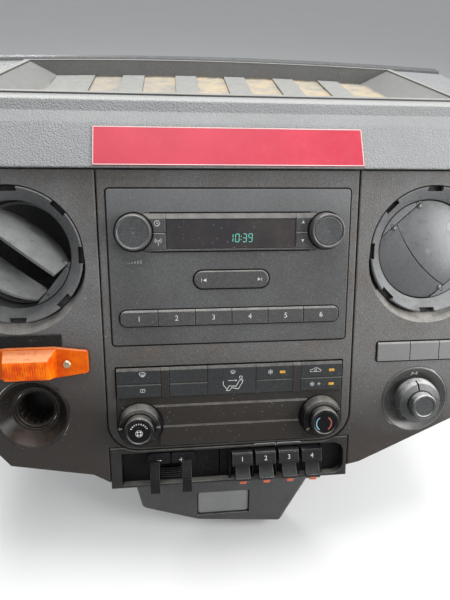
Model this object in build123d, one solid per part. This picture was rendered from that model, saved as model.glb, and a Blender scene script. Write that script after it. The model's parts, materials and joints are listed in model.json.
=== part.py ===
from build123d import *
from math import asin, atan2, copysign, cos, degrees, radians, sin, sqrt
import os

# The centre section of a truck's dashboard, in millimetres. X is to the right of someone facing
# the dashboard, Y is away from them towards the windscreen and Z is up. The origin is the centre
# of the four bolts that hold the section's brackets to the beam behind it.

# Driving dimensions
RADIO_W, RADIO_H = 235.0, 150.4
HALF_W = 285.0
RADIO_Y, RADIO_Z = -200.0, 20.0
RAKE = 27.0
SKIN = 3.0
RIM = 14.0
SEAM = 126.6
SEAM_GAP = 1.0
PANEL_TOP = 93.0
CENTRE_BOTTOM, CENTRE_CORNER_R = -187.5, 30.0
PANEL_FOOT_H, PANEL_FOOT_T = 5.0, 2.0
SEAT_W = 5.0
BEAM_BOLT_DX, BEAM_BOLT_DZ, BEAM_BOLT_R = 300.0, 70.0, 4.5

# Everything on the face is drawn in the raked face plane: u to the right, v up the face from the
# radio's centre, n out of the face towards the driver.
FACE = Plane(
    origin=(0, RADIO_Y, RADIO_Z),
    x_dir=(1, 0, 0),
    z_dir=(0, -cos(radians(RAKE)), sin(radians(RAKE))),
)

# Lower edges of the two side panels, from the seam outwards, as u and v
LEFT_EDGE = ((-90, -245), (-143.4, -213.1), (-224.3, -197.9), (-238, -181), (-HALF_W, -166))
RIGHT_EDGE = ((90, -226), (140, -216), (242, -171), (HALF_W, -166))

# Air vents: the ring is a funnel from its crest down to its bore
VENT_U, VENT_V = 205.5, 14.0
VENT_RING_R, VENT_BORE_R, VENT_BODY_R = 64.4, 51.5, 50.7
VENT_CREST_N, VENT_LIP_N, VENT_FLANGE_N = 0.5, -9.0, -8.0
VENT_DEPTH = 50.5
# the scoop below the ring: how far its mouth hangs down and how much wider it is
SCOOP_DROP, SCOOP_GROW = 9.5, 1.5
VENT_NOTCHES, VENT_NOTCH_W, VENT_NOTCH_D = 8, 16.0, 5.0
VENT_MOUTH_U, VENT_MOUTH_N = 138.0, -112.0
BLADE_R, BLADE_T, DOME_R, DOME_TOP = 50.3, 2.6, 200.0, -5.4
CHEEK_X, BLADE_END_X = 43.0, 42.2
SEAM_MID, SEAM_END = -16.0, -8.0
BLADE_GAP = 1.0
MAIN_PIVOT_Y, MINOR_PIVOT_Y, PIVOT_N = 21.0, -13.0, -11.8
PIN_R, PIN_HOLE_R, PIN_END_X = 1.6, 2.0, 45.7
BOSS_R, BOSS_W = 3.0, 3.0
# the finger dent near the main blade's rim: its place, width and the ball that cuts it
DENT_Y, DENT_R, DENT_BALL_R = 35.0, 9.0, 30.0
# side, turn of the blades' axis about the face normal, how far the blades stand open
VENTS = (("left", -VENT_U, -39.0, 72.0), ("right", VENT_U, -49.0, 0.0))

# Round controls on the wings of the face
SOCKET_U, SOCKET_V, SOCKET_R = -199.5, -143.5, 21.0
DRIVE_U, DRIVE_V, DRIVE_HOLE_R = 199.0, -146.0, 6.0
BOWL_R = 36.5
KEY_EDGES, KEY_ROW_V0, KEY_ROW_V1 = (153.6, 189.2, 221.2, 255.0), -101.2, -81.2

# Radio
KNOB_U, KNOB_V = 93.2, 35.2
KNOB_R, KNOB_H, KNOB_BUTTON_R = 17.6, 12.0, 13.6
STRIP_U, STRIP_V0, STRIP_V1 = 84.0, 17.1, 52.8
STRIP_N, STRIP_BEVEL_H, STRIP_BEVEL_D = 3.0, 5.2, 2.4
WINDOW_U, WINDOW_V0, WINDOW_V1, WINDOW_N = 62.6, 18.8, 47.2, 2.0
STRIP_KEY_U, STRIP_KEY_SPLIT = 62.9, 34.8
PRESET_U, PRESET_V0, PRESET_V1, PRESET_PITCH, PRESET_N = 109.2, -56.0, -40.4, 36.4, 2.6
SEEK_U, SEEK_V, SEEK_R, SEEK_N = 37.0, -11.2, 8.7, 3.0
CASE_U, CASE_V0, CASE_V1, CASE_DEPTH = 91.0, -48.0, 52.0, 150.0

# Climate panel, with the two ledges of the blank band between its dials as half width, v and height
CLIMATE_U, CLIMATE_TOP, CLIMATE_BOTTOM, CLIMATE_CORNER_R = 116.6, -98.2, -184.5, 24.0
LEDGES = ((86.0, -161.0, -139.2, 1.6), (74.0, -182.5, -161.0, 2.6))
DIAL_U, DIAL_V, DIAL_R, DIAL_CAP_R, DIAL_H = 94.0, -158.7, 22.4, 15.2, 20.0
KEY_V0, KEY_V1, KEY_SPLIT, KEY_N = -129.5, -99.2, -115.6, 2.4
# left and right edge of each pair of keys, and of the single key in the middle
KEY_COLUMNS = ((-115.6, -72.0), (-63.2, -25.1), (25.1, 63.2), (72.0, 115.6))
CENTRE_KEY_U = 24.6

# Switch strip below the climate panel
STRIP_SHOULDER, STRIP_BOTTOM = -184.5, -230.4
RECESS_U0, RECESS_U1, RECESS_V0, RECESS_V1 = -115.0, 122.0, -227.2, -191.2
RECESS_FLOOR, CARRIER_N, RECESS_SEAM_U = -21.0, -9.0, -12.3
AUX_U = (10.6, 35.5, 60.5, 85.4)
AUX_HEAD_W, AUX_TONGUE_W, AUX_TIP_W = 21.2, 14.8, 6.8
LEVER_U, LEVER_W = (-80.2, -47.8), 9.4
# left and right edge of the two halves of the brake rocker
ROCKER_U = ((-87.4, -64.4), (-63.6, -39.8))

# Marker lamp on the left wing, drawn about its own centre
LAMP_U, LAMP_V = -196.0, -89.5
LAMP_PLAN = ((54.5, 11.0), (22.0, 15.5), (-22.0, 15.5), (-54.5, 11.0))
LAMP_BASE_N, LENS_N = 4.6, 21.0
LENS_FOOT_U, LENS_CROWN_U, LENS_WALL = 25.0, 20.0, 2.2
LABEL_U0, LABEL_U1, LABEL_V0, LABEL_V1 = -226.0, -166.0, -73.4, -62.3

# End plates: thickness, width of the turned-in hem, and the holes' place and radius
CHEEK_T, CHEEK_HEM = 4.0, 12.0
CHEEK_HOLES = ((-112, 76, 22), (-150, -8, 24), (-88, 8, 26), (-122, -70, 20))

# Pad and tray, as distances back and up from the radio's centre
PAD_PROFILE = ((35.4, 87.4), (68.0, 117.2), (84.0, 122.0), (91.0, 131.0), (300.0, 131.0))
# the same line on the inside of the pad's skin
PAD_INSIDE = ((42.8, 88.2), (69.6, 112.6), (85.8, 117.8), (92.8, 127.0), (305.0, 127.0))
PLATE_W, PLATE_H, PLATE_T, PLATE_UP = 254.0, 38.1, 1.2, 20.5
RAIL_R, RAIL_Y, RAIL_FRONT, RAIL_SWEEP = 1270.0, 280.0, 269.0, 30.0
RAIL_OUTSIDE = (
    (269, 96), (269, 127), (274, 134), (287, 134), (293, 127), (293, 88), (289.5, 88), (289.5, 96),
)
RAIL_INSIDE = ((272.5, 90), (272.5, 126), (276, 130.5), (285.5, 130.5), (289.5, 126), (289.5, 90))
TRAY_FLOOR_Z, TRAY_TOP_Z = 114.0, 131.0
# front Y, half width at the front, half width at the rear, rear Y at the middle and at the corner
TRAY_FLOOR = (118.0, 206.0, 186.0, 261.0, 247.0)
TRAY_RIM = (113.5, 244.0, 218.0, 265.3, 246.0)
TRAY_LIP_W, TRAY_LIP_T = 6.0, 1.6
# middle and width of each raised slat
SLATS = ((-168.0, 44.0), (-100.0, 26.0), (-36.0, 26.0), (25.0, 26.0), (87.0, 26.0), (145.0, 26.0))

# Channel across the back and the brackets that hold it to the beam
CHANNEL_H, CHANNEL_D, CHANNEL_T, CHANNEL_BACK = 56.0, 32.0, 3.0, 4.0
CHANNEL_RIBS = (-220.0, -75.0, 75.0, 220.0)
BRACKET_W, BRACKET_H, BRACKET_T = 56.0, 104.0, 4.0

# Floor duct: middle across, height up the face, middle out of the face, width and depth of the
# neck's two ends and of the box's roof and foot
DUCT_NECK = ((0.0, -181.0, -40.0, 120.0, 20.0), (-3.0, -256.0, -69.0, 190.0, 30.0))
DUCT_BOX = ((-2.0, -255.0, -69.0, 212.0, 38.0), (-13.0, -328.0, -80.0, 160.0, 38.0))
DUCT_LIP = ((-2.0, -255.0, -69.0, 216.0, 42.0), (-2.0, -259.5, -69.7, 215.0, 42.0))
DUCT_WALL = 2.5
# the bend of the foot's cut, from left to right, and the shallow window in the front
DUCT_CUT = ((-120.0, -283.0), (-34.0, -313.5), (90.0, -326.0))
DUCT_WINDOW_U, DUCT_WINDOW_V, DUCT_WINDOW_W, DUCT_WINDOW_H, DUCT_WINDOW_D = -3.6, -291.5, 63.0, 33.0, 3.5


def on_face(shape):
    """Takes a shape drawn in the face plane to its place."""
    return FACE.location * shape


def slab(sketch, low, high):
    """A sketch in the face plane, thickened from one height to another."""
    return extrude(Pos(0, 0, low) * sketch, amount=high - low)


def box(u0, u1, v0, v1, radius=0.0):
    """A rectangle between two edges each way, with rounded corners."""
    centre = Pos((u0 + u1) / 2, (v0 + v1) / 2)
    if radius:
        return centre * RectangleRounded(u1 - u0, v1 - v0, radius)
    return centre * Rectangle(u1 - u0, v1 - v0)


def outline(*points):
    """A flat face through a few corners, which may run either way round."""
    turn = sum(a[0] * b[1] - b[0] * a[1] for a, b in zip(points, points[1:] + points[:1]))
    return Polygon(*(points if turn > 0 else points[::-1]), align=None)


def turned(*profile):
    """A solid of revolution about the face normal from points of radius and height."""
    return revolve(Plane.XZ * outline(*profile), Axis.Z)


def bar(u0, u1, *profile):
    """A bar along u with one section all the way, given as points of v and n."""
    return extrude(Plane.YZ.offset(u0) * outline(*profile), amount=u1 - u0)


def key_section(v0, v1, low, high, slope, drop):
    """A key's section: flat in front, with its upper edge sloping back."""
    return (v0, low), (v0, high), (v1 - slope, high), (v1, high - drop), (v1, low)


def rod(u, v, radius, low, high):
    """A plain round rod along the face normal."""
    return Pos(u, v, low) * Cylinder(radius, high - low, align=(Align.CENTER, Align.CENTER, Align.MIN))


def softened(solid, radius, height):
    """Rounds the edges that lie at one height of a solid in the face plane."""
    edges = [e for e in solid.edges() if abs(e.center().Z - height) < 0.01 and e.bounding_box().size.Z < 0.01]
    return fillet(edges, radius)


def moulding(sketch, top=0.0, rim=RIM, skin=SKIN, edge=1.5):
    """A panel moulding: a skin with a rim all round that turns back behind the face."""
    body = softened(slab(sketch, top - rim, top), edge, top)
    return body - slab(offset(sketch, -skin), top - rim - 1, top - skin)


# Face panels


def centre_outline(grow=0.0):
    """The centre panel's outline, square at the top and rounded at the bottom."""
    half = SEAM - SEAM_GAP / 2
    sheet = box(-half, half, CENTRE_BOTTOM, PANEL_TOP)
    corners = sheet.vertices().sort_by(Axis.Y)[:2]
    sheet = fillet(corners, CENTRE_CORNER_R)
    return offset(sheet, grow) if grow else sheet


def radio_opening(grow=0.0):
    """The radio's opening, 0.8 mm clear of its face all round."""
    half_w, half_h = RADIO_W / 2 + 0.8 + grow, RADIO_H / 2 + 0.8 + grow
    return box(-half_w, half_w, -half_h, half_h, 3.5)


def seated(panel, opening, seat_n):
    """Cuts an opening with a wall round it and a narrow lip at its bottom for what sits in it."""
    panel += slab(opening(2.0), seat_n - 2.5, -1.0)
    return panel - slab(opening(), seat_n, 5) - slab(opening(-SEAT_W), seat_n - 5, 5)


def centre_panel():
    """The panel round the radio and the climate panel, each of which sits on a lip behind it."""
    panel = seated(moulding(centre_outline()), radio_opening, -12.6)
    return on_face(seated(panel, lambda grow=0.0: climate_outline(grow + 0.6), -10.6))


def climate_outline(grow=0.0):
    """The climate panel's outline, with large lower corners."""
    sheet = box(-CLIMATE_U - grow, CLIMATE_U + grow, CLIMATE_BOTTOM - grow, CLIMATE_TOP + grow)
    lower = sheet.vertices().sort_by(Axis.Y)[:2]
    return fillet(lower, CLIMATE_CORNER_R)


def vent_hole(u):
    """What a vent's hole takes out: a scoop below the ring, the ring's place over its seat, the way through."""
    seat_n, hole_r = VENT_FLANGE_N - 0.6, VENT_RING_R + 0.8
    throat = Pos(u, VENT_V, seat_n + 0.4) * Circle(hole_r - 0.4)
    mouth = Pos(u, VENT_V - SCOOP_DROP, 0.2) * Circle(VENT_RING_R + SCOOP_GROW)
    return loft([throat, mouth]), rod(u, VENT_V, hole_r, seat_n, 2), rod(u, VENT_V, hole_r - SEAT_W, -20, 2)


def wing_panel(side, edge, cutters):
    """A side panel with its lower flange, its vent hollow and its other openings."""
    sheet = outline(*edge, (side * HALF_W, PANEL_TOP), (side * 90, PANEL_TOP))
    sheet -= centre_outline(SEAM_GAP) + box(-SEAM, SEAM, -400, STRIP_SHOULDER + 0.5)
    foot = (Pos(0, -PANEL_FOOT_H) * sheet - sheet) & box(*sorted((side * 145, side * HALF_W)), -260, -150)
    panel = moulding(sheet) + slab(foot, -RIM, -RIM + PANEL_FOOT_T)
    panel += rod(side * VENT_U, VENT_V - 4.0, VENT_RING_R + 9.5, VENT_FLANGE_N - 3.5, -SKIN + 0.5)
    for cutter in [*vent_hole(side * VENT_U), *cutters]:
        panel -= cutter
    return on_face(panel)


def left_panel():
    return wing_panel(-1, LEFT_EDGE, [rod(SOCKET_U, SOCKET_V, BOWL_R + 0.4, -20, 5)])


def right_panel():
    keys = slab(box(KEY_EDGES[0] - 0.6, KEY_EDGES[-1] + 0.6, KEY_ROW_V0 - 0.6, KEY_ROW_V1 + 0.6, 2.0), -20, 5)
    return wing_panel(1, RIGHT_EDGE, [rod(DRIVE_U, DRIVE_V, BOWL_R + 0.4, -20, 5), keys])


# Air vents


def at_vent(shape, u, turn):
    """Takes a shape drawn about a vent's axis to its place in the face plane."""
    return on_face(Pos(u, VENT_V, 0) * Rot(0, 0, turn) * shape)


def vent_ring(u):
    """The fixed ring: a funnel with notches round its edge, and the sleeve behind it."""
    rear = -VENT_DEPTH
    ring = turned(
        (VENT_BORE_R, rear + 3), (VENT_BORE_R, VENT_LIP_N - 1.4), (VENT_BORE_R + 1.2, VENT_LIP_N),
        (VENT_RING_R - 1.6, VENT_CREST_N), (VENT_RING_R - 0.4, VENT_CREST_N - 0.4),
        (VENT_RING_R, VENT_CREST_N - 1.4), (VENT_RING_R, VENT_FLANGE_N), (VENT_BORE_R + 6, VENT_FLANGE_N),
        (VENT_BORE_R + 3, VENT_FLANGE_N - 4), (VENT_BORE_R + 3, rear), (VENT_BORE_R - 3, rear),
        (VENT_BORE_R - 3, rear + 3),
    )
    half = VENT_NOTCH_W / 2
    notch = slab(box(VENT_RING_R - VENT_NOTCH_D, VENT_RING_R + 2, -half, half), VENT_FLANGE_N + 1, 3)
    for step in range(VENT_NOTCHES):
        ring -= Rot(0, 0, step * 360 / VENT_NOTCHES) * notch
    return at_vent(ring, u, 0)


def vent_barrel(u, turn):
    """The turning barrel: two cheeks that carry the blades' pins, joined by a ring behind."""
    rear, top, waist, bore = -VENT_DEPTH + 4, VENT_LIP_N - 1.2, -32.4, VENT_BODY_R - 2.8
    shell = rod(0, 0, VENT_BODY_R, rear, top)
    shell -= rod(0, 0, bore, rear - 1, waist)
    shell -= slab(Rectangle(2 * CHEEK_X, 120), waist - 0.1, top + 1)
    shell -= slab(box(-CHEEK_X, CHEEK_X, -100, 100), -VENT_DEPTH, waist + 1) & rod(0, 0, bore, -60, -20)
    for pivot in (MAIN_PIVOT_Y, MINOR_PIVOT_Y):
        shell -= Pos(0, pivot, PIVOT_N) * Rot(0, 90, 0) * Cylinder(PIN_HOLE_R, 2 * PIN_END_X + 1)
    return at_vent(shell, u, turn)


def seam_strip(shift):
    """All of the blade disc on the main blade's side of the curved seam, moved by a shift."""
    reach = BLADE_END_X + 8
    end = SEAM_MID + shift + (SEAM_END - SEAM_MID) * (reach / BLADE_END_X) ** 2
    bow = ThreePointArc((-reach, end), (0, SEAM_MID + shift), (reach, end))
    return make_face(bow + Polyline((reach, end), (reach, 90), (-reach, 90), (-reach, end)))


def finger_dent():
    """The ball that presses the finger dent into the main blade's domed face."""
    lean = asin(DENT_Y / DOME_R)
    lift = DOME_R + sqrt(DENT_BALL_R**2 - DENT_R**2)
    return Pos(0, lift * sin(lean), DOME_TOP - DOME_R + lift * cos(lean)) * Sphere(DENT_BALL_R)


def blade(part, pivot, u, turn, opening):
    """One domed blade with its end bosses and pins, turned about its own pins."""
    dome = Pos(0, 0, DOME_TOP - DOME_R) * (Sphere(DOME_R) - Sphere(DOME_R - BLADE_T))
    disc = Circle(BLADE_R) & Rectangle(2 * BLADE_END_X, 200)
    plan = disc & seam_strip(BLADE_GAP / 2) if part == "main" else disc - seam_strip(-BLADE_GAP / 2)
    body = dome & slab(plan, -20, 5)
    axis = Pos(0, pivot, PIVOT_N) * Rot(0, 90, 0)
    for side in (-1, 1):
        boss_mid, pin_mid = side * (BLADE_END_X - BOSS_W / 2), side * (BLADE_END_X + PIN_END_X - 1) / 2
        body += axis * Pos(0, 0, boss_mid) * Cylinder(BOSS_R, BOSS_W)
        body += axis * Pos(0, 0, pin_mid) * Cylinder(PIN_R, PIN_END_X - BLADE_END_X + 1)
    if part == "main":
        body -= finger_dent()
    swing = Pos(0, pivot, PIVOT_N) * Rot(-opening, 0, 0) * Pos(0, -pivot, -PIVOT_N)
    return at_vent(swing * body, u, turn)


def vent_duct(u):
    """The adaptor behind a vent, which leads from its round sleeve inwards to the flat duct."""
    collar, inside_r = -VENT_DEPTH - 1.0, VENT_BORE_R + 3.3
    outside_r = inside_r + 2.7
    duct = rod(u, VENT_V, outside_r, collar, collar + 14) - rod(u, VENT_V, inside_r, collar - 1, collar + 15)
    mouth = Pos(copysign(VENT_MOUTH_U, u), VENT_V - 12, VENT_MOUTH_N)
    outer = loft([Pos(u, VENT_V, collar) * Circle(outside_r), mouth * RectangleRounded(76, 62, 12)])
    inner = loft([Pos(u, VENT_V, collar) * Circle(inside_r), mouth * RectangleRounded(71, 57, 10)])
    return on_face(duct + (outer - inner))


# Radio


def radio_face():
    face = slab(box(-RADIO_W / 2, RADIO_W / 2, -RADIO_H / 2, RADIO_H / 2, 3.0), -12, 1.0)
    face = softened(face, 0.8, 1.0)
    face -= slab(Rectangle(RADIO_W - 5, RADIO_H - 5), -13, -9.5)
    face -= slab(offset(strip_outline(), 0.4), -3, 5)
    for side in (-1, 1):
        face -= rod(side * KNOB_U, KNOB_V, KNOB_R + 1.2, -3, 5)
        face -= rod(side * KNOB_U, KNOB_V, 4.0, -20, 5)
    face -= slab(box(-PRESET_U - 0.5, PRESET_U + 0.5, PRESET_V0 - 0.5, PRESET_V1 + 0.5, 7.0), -4, 5)
    face -= slab(SlotOverall(2 * SEEK_U + 1, 2 * SEEK_R + 1).moved(Location((0, SEEK_V))), -4, 5)
    return on_face(face)


def strip_outline():
    """The raised strip's outline between the two knobs."""
    return box(-STRIP_U, STRIP_U, STRIP_V0, STRIP_V1, 2.0)


def radio_display():
    """The raised strip between the knobs, with its sloping top, its window and the keys' pockets."""
    section = key_section(STRIP_V0, STRIP_V1, -2.6, STRIP_N, STRIP_BEVEL_H, STRIP_BEVEL_D)
    strip = bar(-STRIP_U, STRIP_U, *section) & slab(strip_outline(), -3, 5)
    strip -= slab(box(-WINDOW_U, WINDOW_U, WINDOW_V0, WINDOW_V1), WINDOW_N, 5)
    for side in (-1, 1):
        pocket = sorted((side * STRIP_KEY_U, side * (STRIP_U + 1)))
        strip -= rod(side * KNOB_U, KNOB_V, KNOB_R + 1.2, -20, 5)
        strip -= slab(box(*pocket, STRIP_V0 + 1.3, STRIP_V1 + 1), -1.4, 5)
    return on_face(strip)


def radio_keys():
    """Four small keys in two pairs beside the window, the upper ones with the strip's slope."""
    keys = []
    for side in (-1, 1):
        edges = sorted((side * (STRIP_KEY_U + 0.4), side * STRIP_U))
        sections = (
            key_section(STRIP_V0 + 1.7, STRIP_KEY_SPLIT - 0.3, -1.2, STRIP_N, 0.8, 0.5),
            key_section(STRIP_KEY_SPLIT + 0.3, STRIP_V1, -1.2, STRIP_N, STRIP_BEVEL_H, STRIP_BEVEL_D),
        )
        for section in sections:
            key = bar(*edges, *section) & slab(strip_outline(), -3, 5)
            keys.append(key - rod(side * KNOB_U, KNOB_V, KNOB_R + 1.2, -5, 5))
    return on_face(Compound(children=keys))


def radio_knob(side, button=0.0):
    """A round knob with a rounded rim and a shallow dish, or a push button in the dish's place."""
    knob = turned(
        (0, -6), (3.0, -6), (3.0, -1.8), (KNOB_R, -1.8), (KNOB_R, 1.5), (KNOB_R - 0.9, KNOB_H - 1.4),
        (KNOB_R - 1.7, KNOB_H - 0.2), (KNOB_R - 2.6, KNOB_H), (KNOB_R - 3.6, KNOB_H - 0.7), (0, KNOB_H - 1.6),
    )
    if button:
        groove = slab(Circle(button + 0.5) - Circle(button), KNOB_H - 4, KNOB_H + 1)
        knob -= groove
    return on_face(Pos(side * KNOB_U, KNOB_V, 0) * knob)


def preset_buttons():
    """Six keys in one row whose two outer ends are rounded, each with a sloping upper edge."""
    row = slab(box(-PRESET_U, PRESET_U, PRESET_V0, PRESET_V1, 6.5), -5, 5)
    section = key_section(PRESET_V0, PRESET_V1, -3.6, PRESET_N, 1.8, 1.2)
    keys = []
    for step in range(-3, 3):
        left = step * PRESET_PITCH + 0.35
        keys.append(bar(left, left + PRESET_PITCH - 0.7, *section) & row)
    return on_face(Compound(children=keys))


def seek_rocker():
    rocker = softened(slab(SlotOverall(2 * SEEK_U, 2 * SEEK_R), -3.6, SEEK_N), 1.6, SEEK_N)
    return on_face(Pos(0, SEEK_V, 0) * rocker)


def radio_chassis():
    """The closed metal case behind the face, with cooling slots, side ears and its rear sockets."""
    back = -CASE_DEPTH
    case = slab(box(-CASE_U, CASE_U, CASE_V0, CASE_V1), back, -9.6)
    slot = box(-4, 4, CASE_V0 - 1, CASE_V0 + 1.2) + box(-4, 4, CASE_V1 - 1.2, CASE_V1 + 1)
    for step in range(-3, 4):
        case -= Pos(20 * step, 0, 0) * slab(slot, back + 12, back + 52)
    case += slab(box(-62, -8, -32, -8, 1.5), back - 9, back)
    case -= slab(box(-59.5, -10.5, -29.5, -10.5), back - 10, back - 2)
    case += rod(52, -20, 6.0, back - 12, back)
    case -= rod(52, -20, 4.2, back - 13, back - 3)
    ears = box(-RADIO_W / 2 + 3.5, -CASE_U, -40, 44) + box(CASE_U, RADIO_W / 2 - 3.5, -40, 44)
    return on_face(case + slab(ears, -17.5, -16))


# Climate panel


def climate_face():
    """The panel below the keys, with the two dividers between them and the ledges between the dials."""
    face = softened(slab(climate_outline(), -10, 0.4), 0.8, 0.4)
    for half, low, high, top in LEDGES:
        face += bar(-half, half, *key_section(low, high, 0.2, top, 1.6, 1.2))
    for side in (-1, 1):
        face -= rod(side * DIAL_U, DIAL_V, DIAL_R + 1.2, 0.4, 5)
        face -= rod(side * DIAL_U, DIAL_V, 5.0, -20, 5)
    face -= slab(offset(climate_outline(), -2.5), -11, -2.6)
    face -= slab(box(-130, 130, KEY_V0 - 0.5, CLIMATE_TOP + 1), -20, 5)
    for side in (-1, 1):
        edges = sorted((side * (KEY_COLUMNS[2][1] + 0.5), side * (KEY_COLUMNS[3][0] - 0.5)))
        face += bar(*edges, *key_section(KEY_V0 - 1.0, KEY_V1, -6.0, KEY_N, 2.6, 1.6))
    return on_face(face)


def climate_buttons():
    """Four pairs of keys and one full-height key in the middle, each upper edge sloping back."""
    upper = key_section(KEY_SPLIT + 0.3, KEY_V1, -6, KEY_N, 2.6, 1.6)
    lower = key_section(KEY_V0, KEY_SPLIT - 0.3, -6, KEY_N, 1.0, 0.6)
    keys = [bar(u0, u1, *section) for u0, u1 in KEY_COLUMNS for section in (lower, upper)]
    keys.append(bar(-CENTRE_KEY_U, CENTRE_KEY_U, *key_section(KEY_V0, KEY_V1, -6, KEY_N, 2.6, 1.6)))
    return on_face(Compound(children=keys))


def dial(u, v, skirt_r, cap_r, height):
    """A control knob: a domed skirt, a cap that stands out of it with a sunk face, and a shaft."""
    waist, shaft_r = height * 0.6, 4.0
    knob = turned(
        (0, -8), (shaft_r, -8), (shaft_r, 1.2), (skirt_r, 1.2), (skirt_r, 3.4), (skirt_r - 0.8, waist * 0.62),
        (skirt_r - 2.6, waist * 0.9), (cap_r + 1.4, waist), (cap_r, waist - 0.6), (cap_r - 0.3, height - 1.2),
        (cap_r - 1.3, height), (cap_r - 3.2, height), (cap_r - 3.6, height - 0.8), (0, height - 0.8),
    )
    return Pos(u, v, 0) * knob


def climate_dial(side, turn):
    """A dial of the climate panel, with two small finger lugs on its skirt."""
    knob = dial(side * DIAL_U, DIAL_V, DIAL_R, DIAL_CAP_R, DIAL_H)
    lug = Pos(DIAL_CAP_R + 3.4, 0, 10.4) * Box(4.6, 2.6, 6.0)
    for half_turn in (0, 180):
        knob += Pos(side * DIAL_U, DIAL_V, 0) * Rot(0, 0, turn + half_turn) * fillet(lug.edges(), 1.0)
    return on_face(knob)


def drive_dial():
    """The large round selector in its bowl, with a pointer groove and a finger slot in its skirt."""
    knob = dial(DRIVE_U, DRIVE_V, 24.5, 13.6, 22.0)
    groove = Pos(20.0, 0, 11.0) * Box(13.0, 1.6, 9.0)
    slot = Pos(21.5, 0, 8.5) * Box(8.0, 9.0, 6.0)
    for cutter, turn in ((groove, 100), (slot, 228)):
        knob -= Pos(DRIVE_U, DRIVE_V, 0) * Rot(0, 0, turn) * cutter
    return on_face(knob)


def climate_housing():
    """The closed control unit behind the climate panel, with its cable sockets."""
    body = slab(climate_outline(-6.6), -52, -10.6)
    body -= slab(box(-30, 30, -150, -118), -60, -46) + slab(box(60, 96, -140, -116), -60, -46)
    for side in (-1, 1):
        body -= rod(side * DIAL_U, DIAL_V, 5.0, -24, 5)
    return on_face(body)


# Switch strip


def recess_outline(shrink=0.0):
    """The long recess: square at its left end and rounded at its right end."""
    sheet = box(RECESS_U0 + shrink, RECESS_U1 - shrink, RECESS_V0 + shrink, RECESS_V1 - shrink)
    return fillet(sheet.vertices().sort_by(Axis.X)[2:], 12.0 - shrink)


def switch_panel():
    """The strip below the climate panel, with the long recess for its switches."""
    sheet = box(-SEAM + 0.5, SEAM - 0.5, STRIP_BOTTOM, STRIP_SHOULDER) - centre_outline(SEAM_GAP)
    panel = moulding(sheet, rim=24.0)
    tub = slab(offset(recess_outline(), 2.0) & sheet, -24, -0.5)
    return on_face(panel + tub - slab(recess_outline(), RECESS_FLOOR, 5))


def switch_carrier():
    """The insert that holds the four flip switches, with a wall on each side of each switch."""
    sheet = recess_outline(0.3) & box(RECESS_SEAM_U + 0.5, 130, -240, -180)
    plate = slab(sheet, RECESS_FLOOR + 0.2, CARRIER_N)
    pitch = AUX_U[1] - AUX_U[0]
    walls = [AUX_U[0] - pitch / 2 + step * pitch for step in range(len(AUX_U) + 1)]
    for u in walls:
        plate += slab(box(u - 0.8, u + 0.8, RECESS_V0 + 1, RECESS_V1 - 1), CARRIER_N - 1, -2.5)
    return on_face(plate)


def aux_switch(u):
    """One flip switch: a square head with a hollowed tongue that hangs out over the recess."""
    front = Polyline((-207, CARRIER_N), (-195.5, CARRIER_N), (-195.5, 3.5), (-197.0, 4.6), (-206.5, 6.8))
    scoop = ThreePointArc((-206.5, 6.8), (-214.2, 8.6), (-219.4, 13.8))
    under = Polyline((-219.4, 13.8), (-221.6, 14.2), (-224.4, 11.6), (-213.5, -2.0), (-207, CARRIER_N))
    section = Plane.YZ * make_face(front + scoop + under)
    tongue = Pos(u, 0, 0) * extrude(section, amount=AUX_TONGUE_W / 2, both=True)
    head = Pos(u, 0, 0) * extrude(section, amount=AUX_HEAD_W / 2, both=True)
    return tongue + (head & slab(box(u - 20, u + 20, -208.5, -190), -20, 10)) - aux_tip(u)


def aux_tip(u):
    """The coloured insert under a flip switch's lip."""
    section = ((-221.9, 13.6), (-226.2, 12.0), (-226.2, 9.2), (-221.0, 9.2))
    return bar(u - AUX_TIP_W / 2, u + AUX_TIP_W / 2, *section)


def aux_switches():
    return on_face(Compound(children=[aux_switch(u) for u in AUX_U]))


def aux_switch_tips():
    return on_face(Compound(children=[aux_tip(u) for u in AUX_U]))


def brake_control():
    """The brake controller: a rocker in two halves over a ribbed slot between the two levers."""
    sheet = recess_outline(0.3) & box(-130, RECESS_SEAM_U - 0.5, -240, -180)
    body = slab(sheet, RECESS_FLOOR + 0.2, CARRIER_N)
    for u0, u1 in ROCKER_U:
        body += softened(slab(box(u0, u1, -204.0, -192.6, 2.5), CARRIER_N - 1, 1.5), 0.8, 1.5)
    for step in range(5):
        v = -222.0 + 2.4 * step
        body += bar(-74.8, -53.6, *key_section(v - 0.6, v + 0.6, CARRIER_N - 1, -4.0, 0.6, 1.0))
    return on_face(body)


def brake_levers():
    """Two levers that come out over the rocker and hook downwards."""
    section = (
        (-209.0, CARRIER_N), (-204.3, CARRIER_N), (-204.3, 1.8), (-199.8, 1.8), (-200.6, 5.0), (-212.0, 16.5),
        (-214.0, 17.5), (-229.0, 15.0), (-229.5, 11.0), (-216.0, 12.0), (-207.5, 3.2),
    )
    return on_face(Compound(children=[bar(u - LEVER_W / 2, u + LEVER_W / 2, *section) for u in LEVER_U]))


# Things on the wings


def lamp_base():
    """The lamp's flat base, which tapers towards its two screws."""
    plan = outline(*LAMP_PLAN, *[(-u, -v) for u, v in LAMP_PLAN])
    plan = fillet(plan.vertices(), 2.5)
    base = softened(slab(plan, 0.3, LAMP_BASE_N), 1.0, LAMP_BASE_N)
    return on_face(Pos(LAMP_U, LAMP_V, 0) * base)


def lens_form(inset, low):
    """The lens's outside, or the same form set in by a wall: a sloping top, a front and sloped ends."""
    foot, crown = LENS_FOOT_U - inset, LENS_CROWN_U - inset
    top = LENS_N - inset
    side = ((13.8 - inset, low), (6.8 - inset * 0.6, top), (-12.6 + inset, top - 3.6), (-14.2 + inset, low))
    ends = outline((-foot, low), (foot, low), (crown, top + 1), (-crown, top + 1))
    return bar(-foot, foot, *side) & extrude(Plane.XZ * ends, amount=30, both=True)


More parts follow.
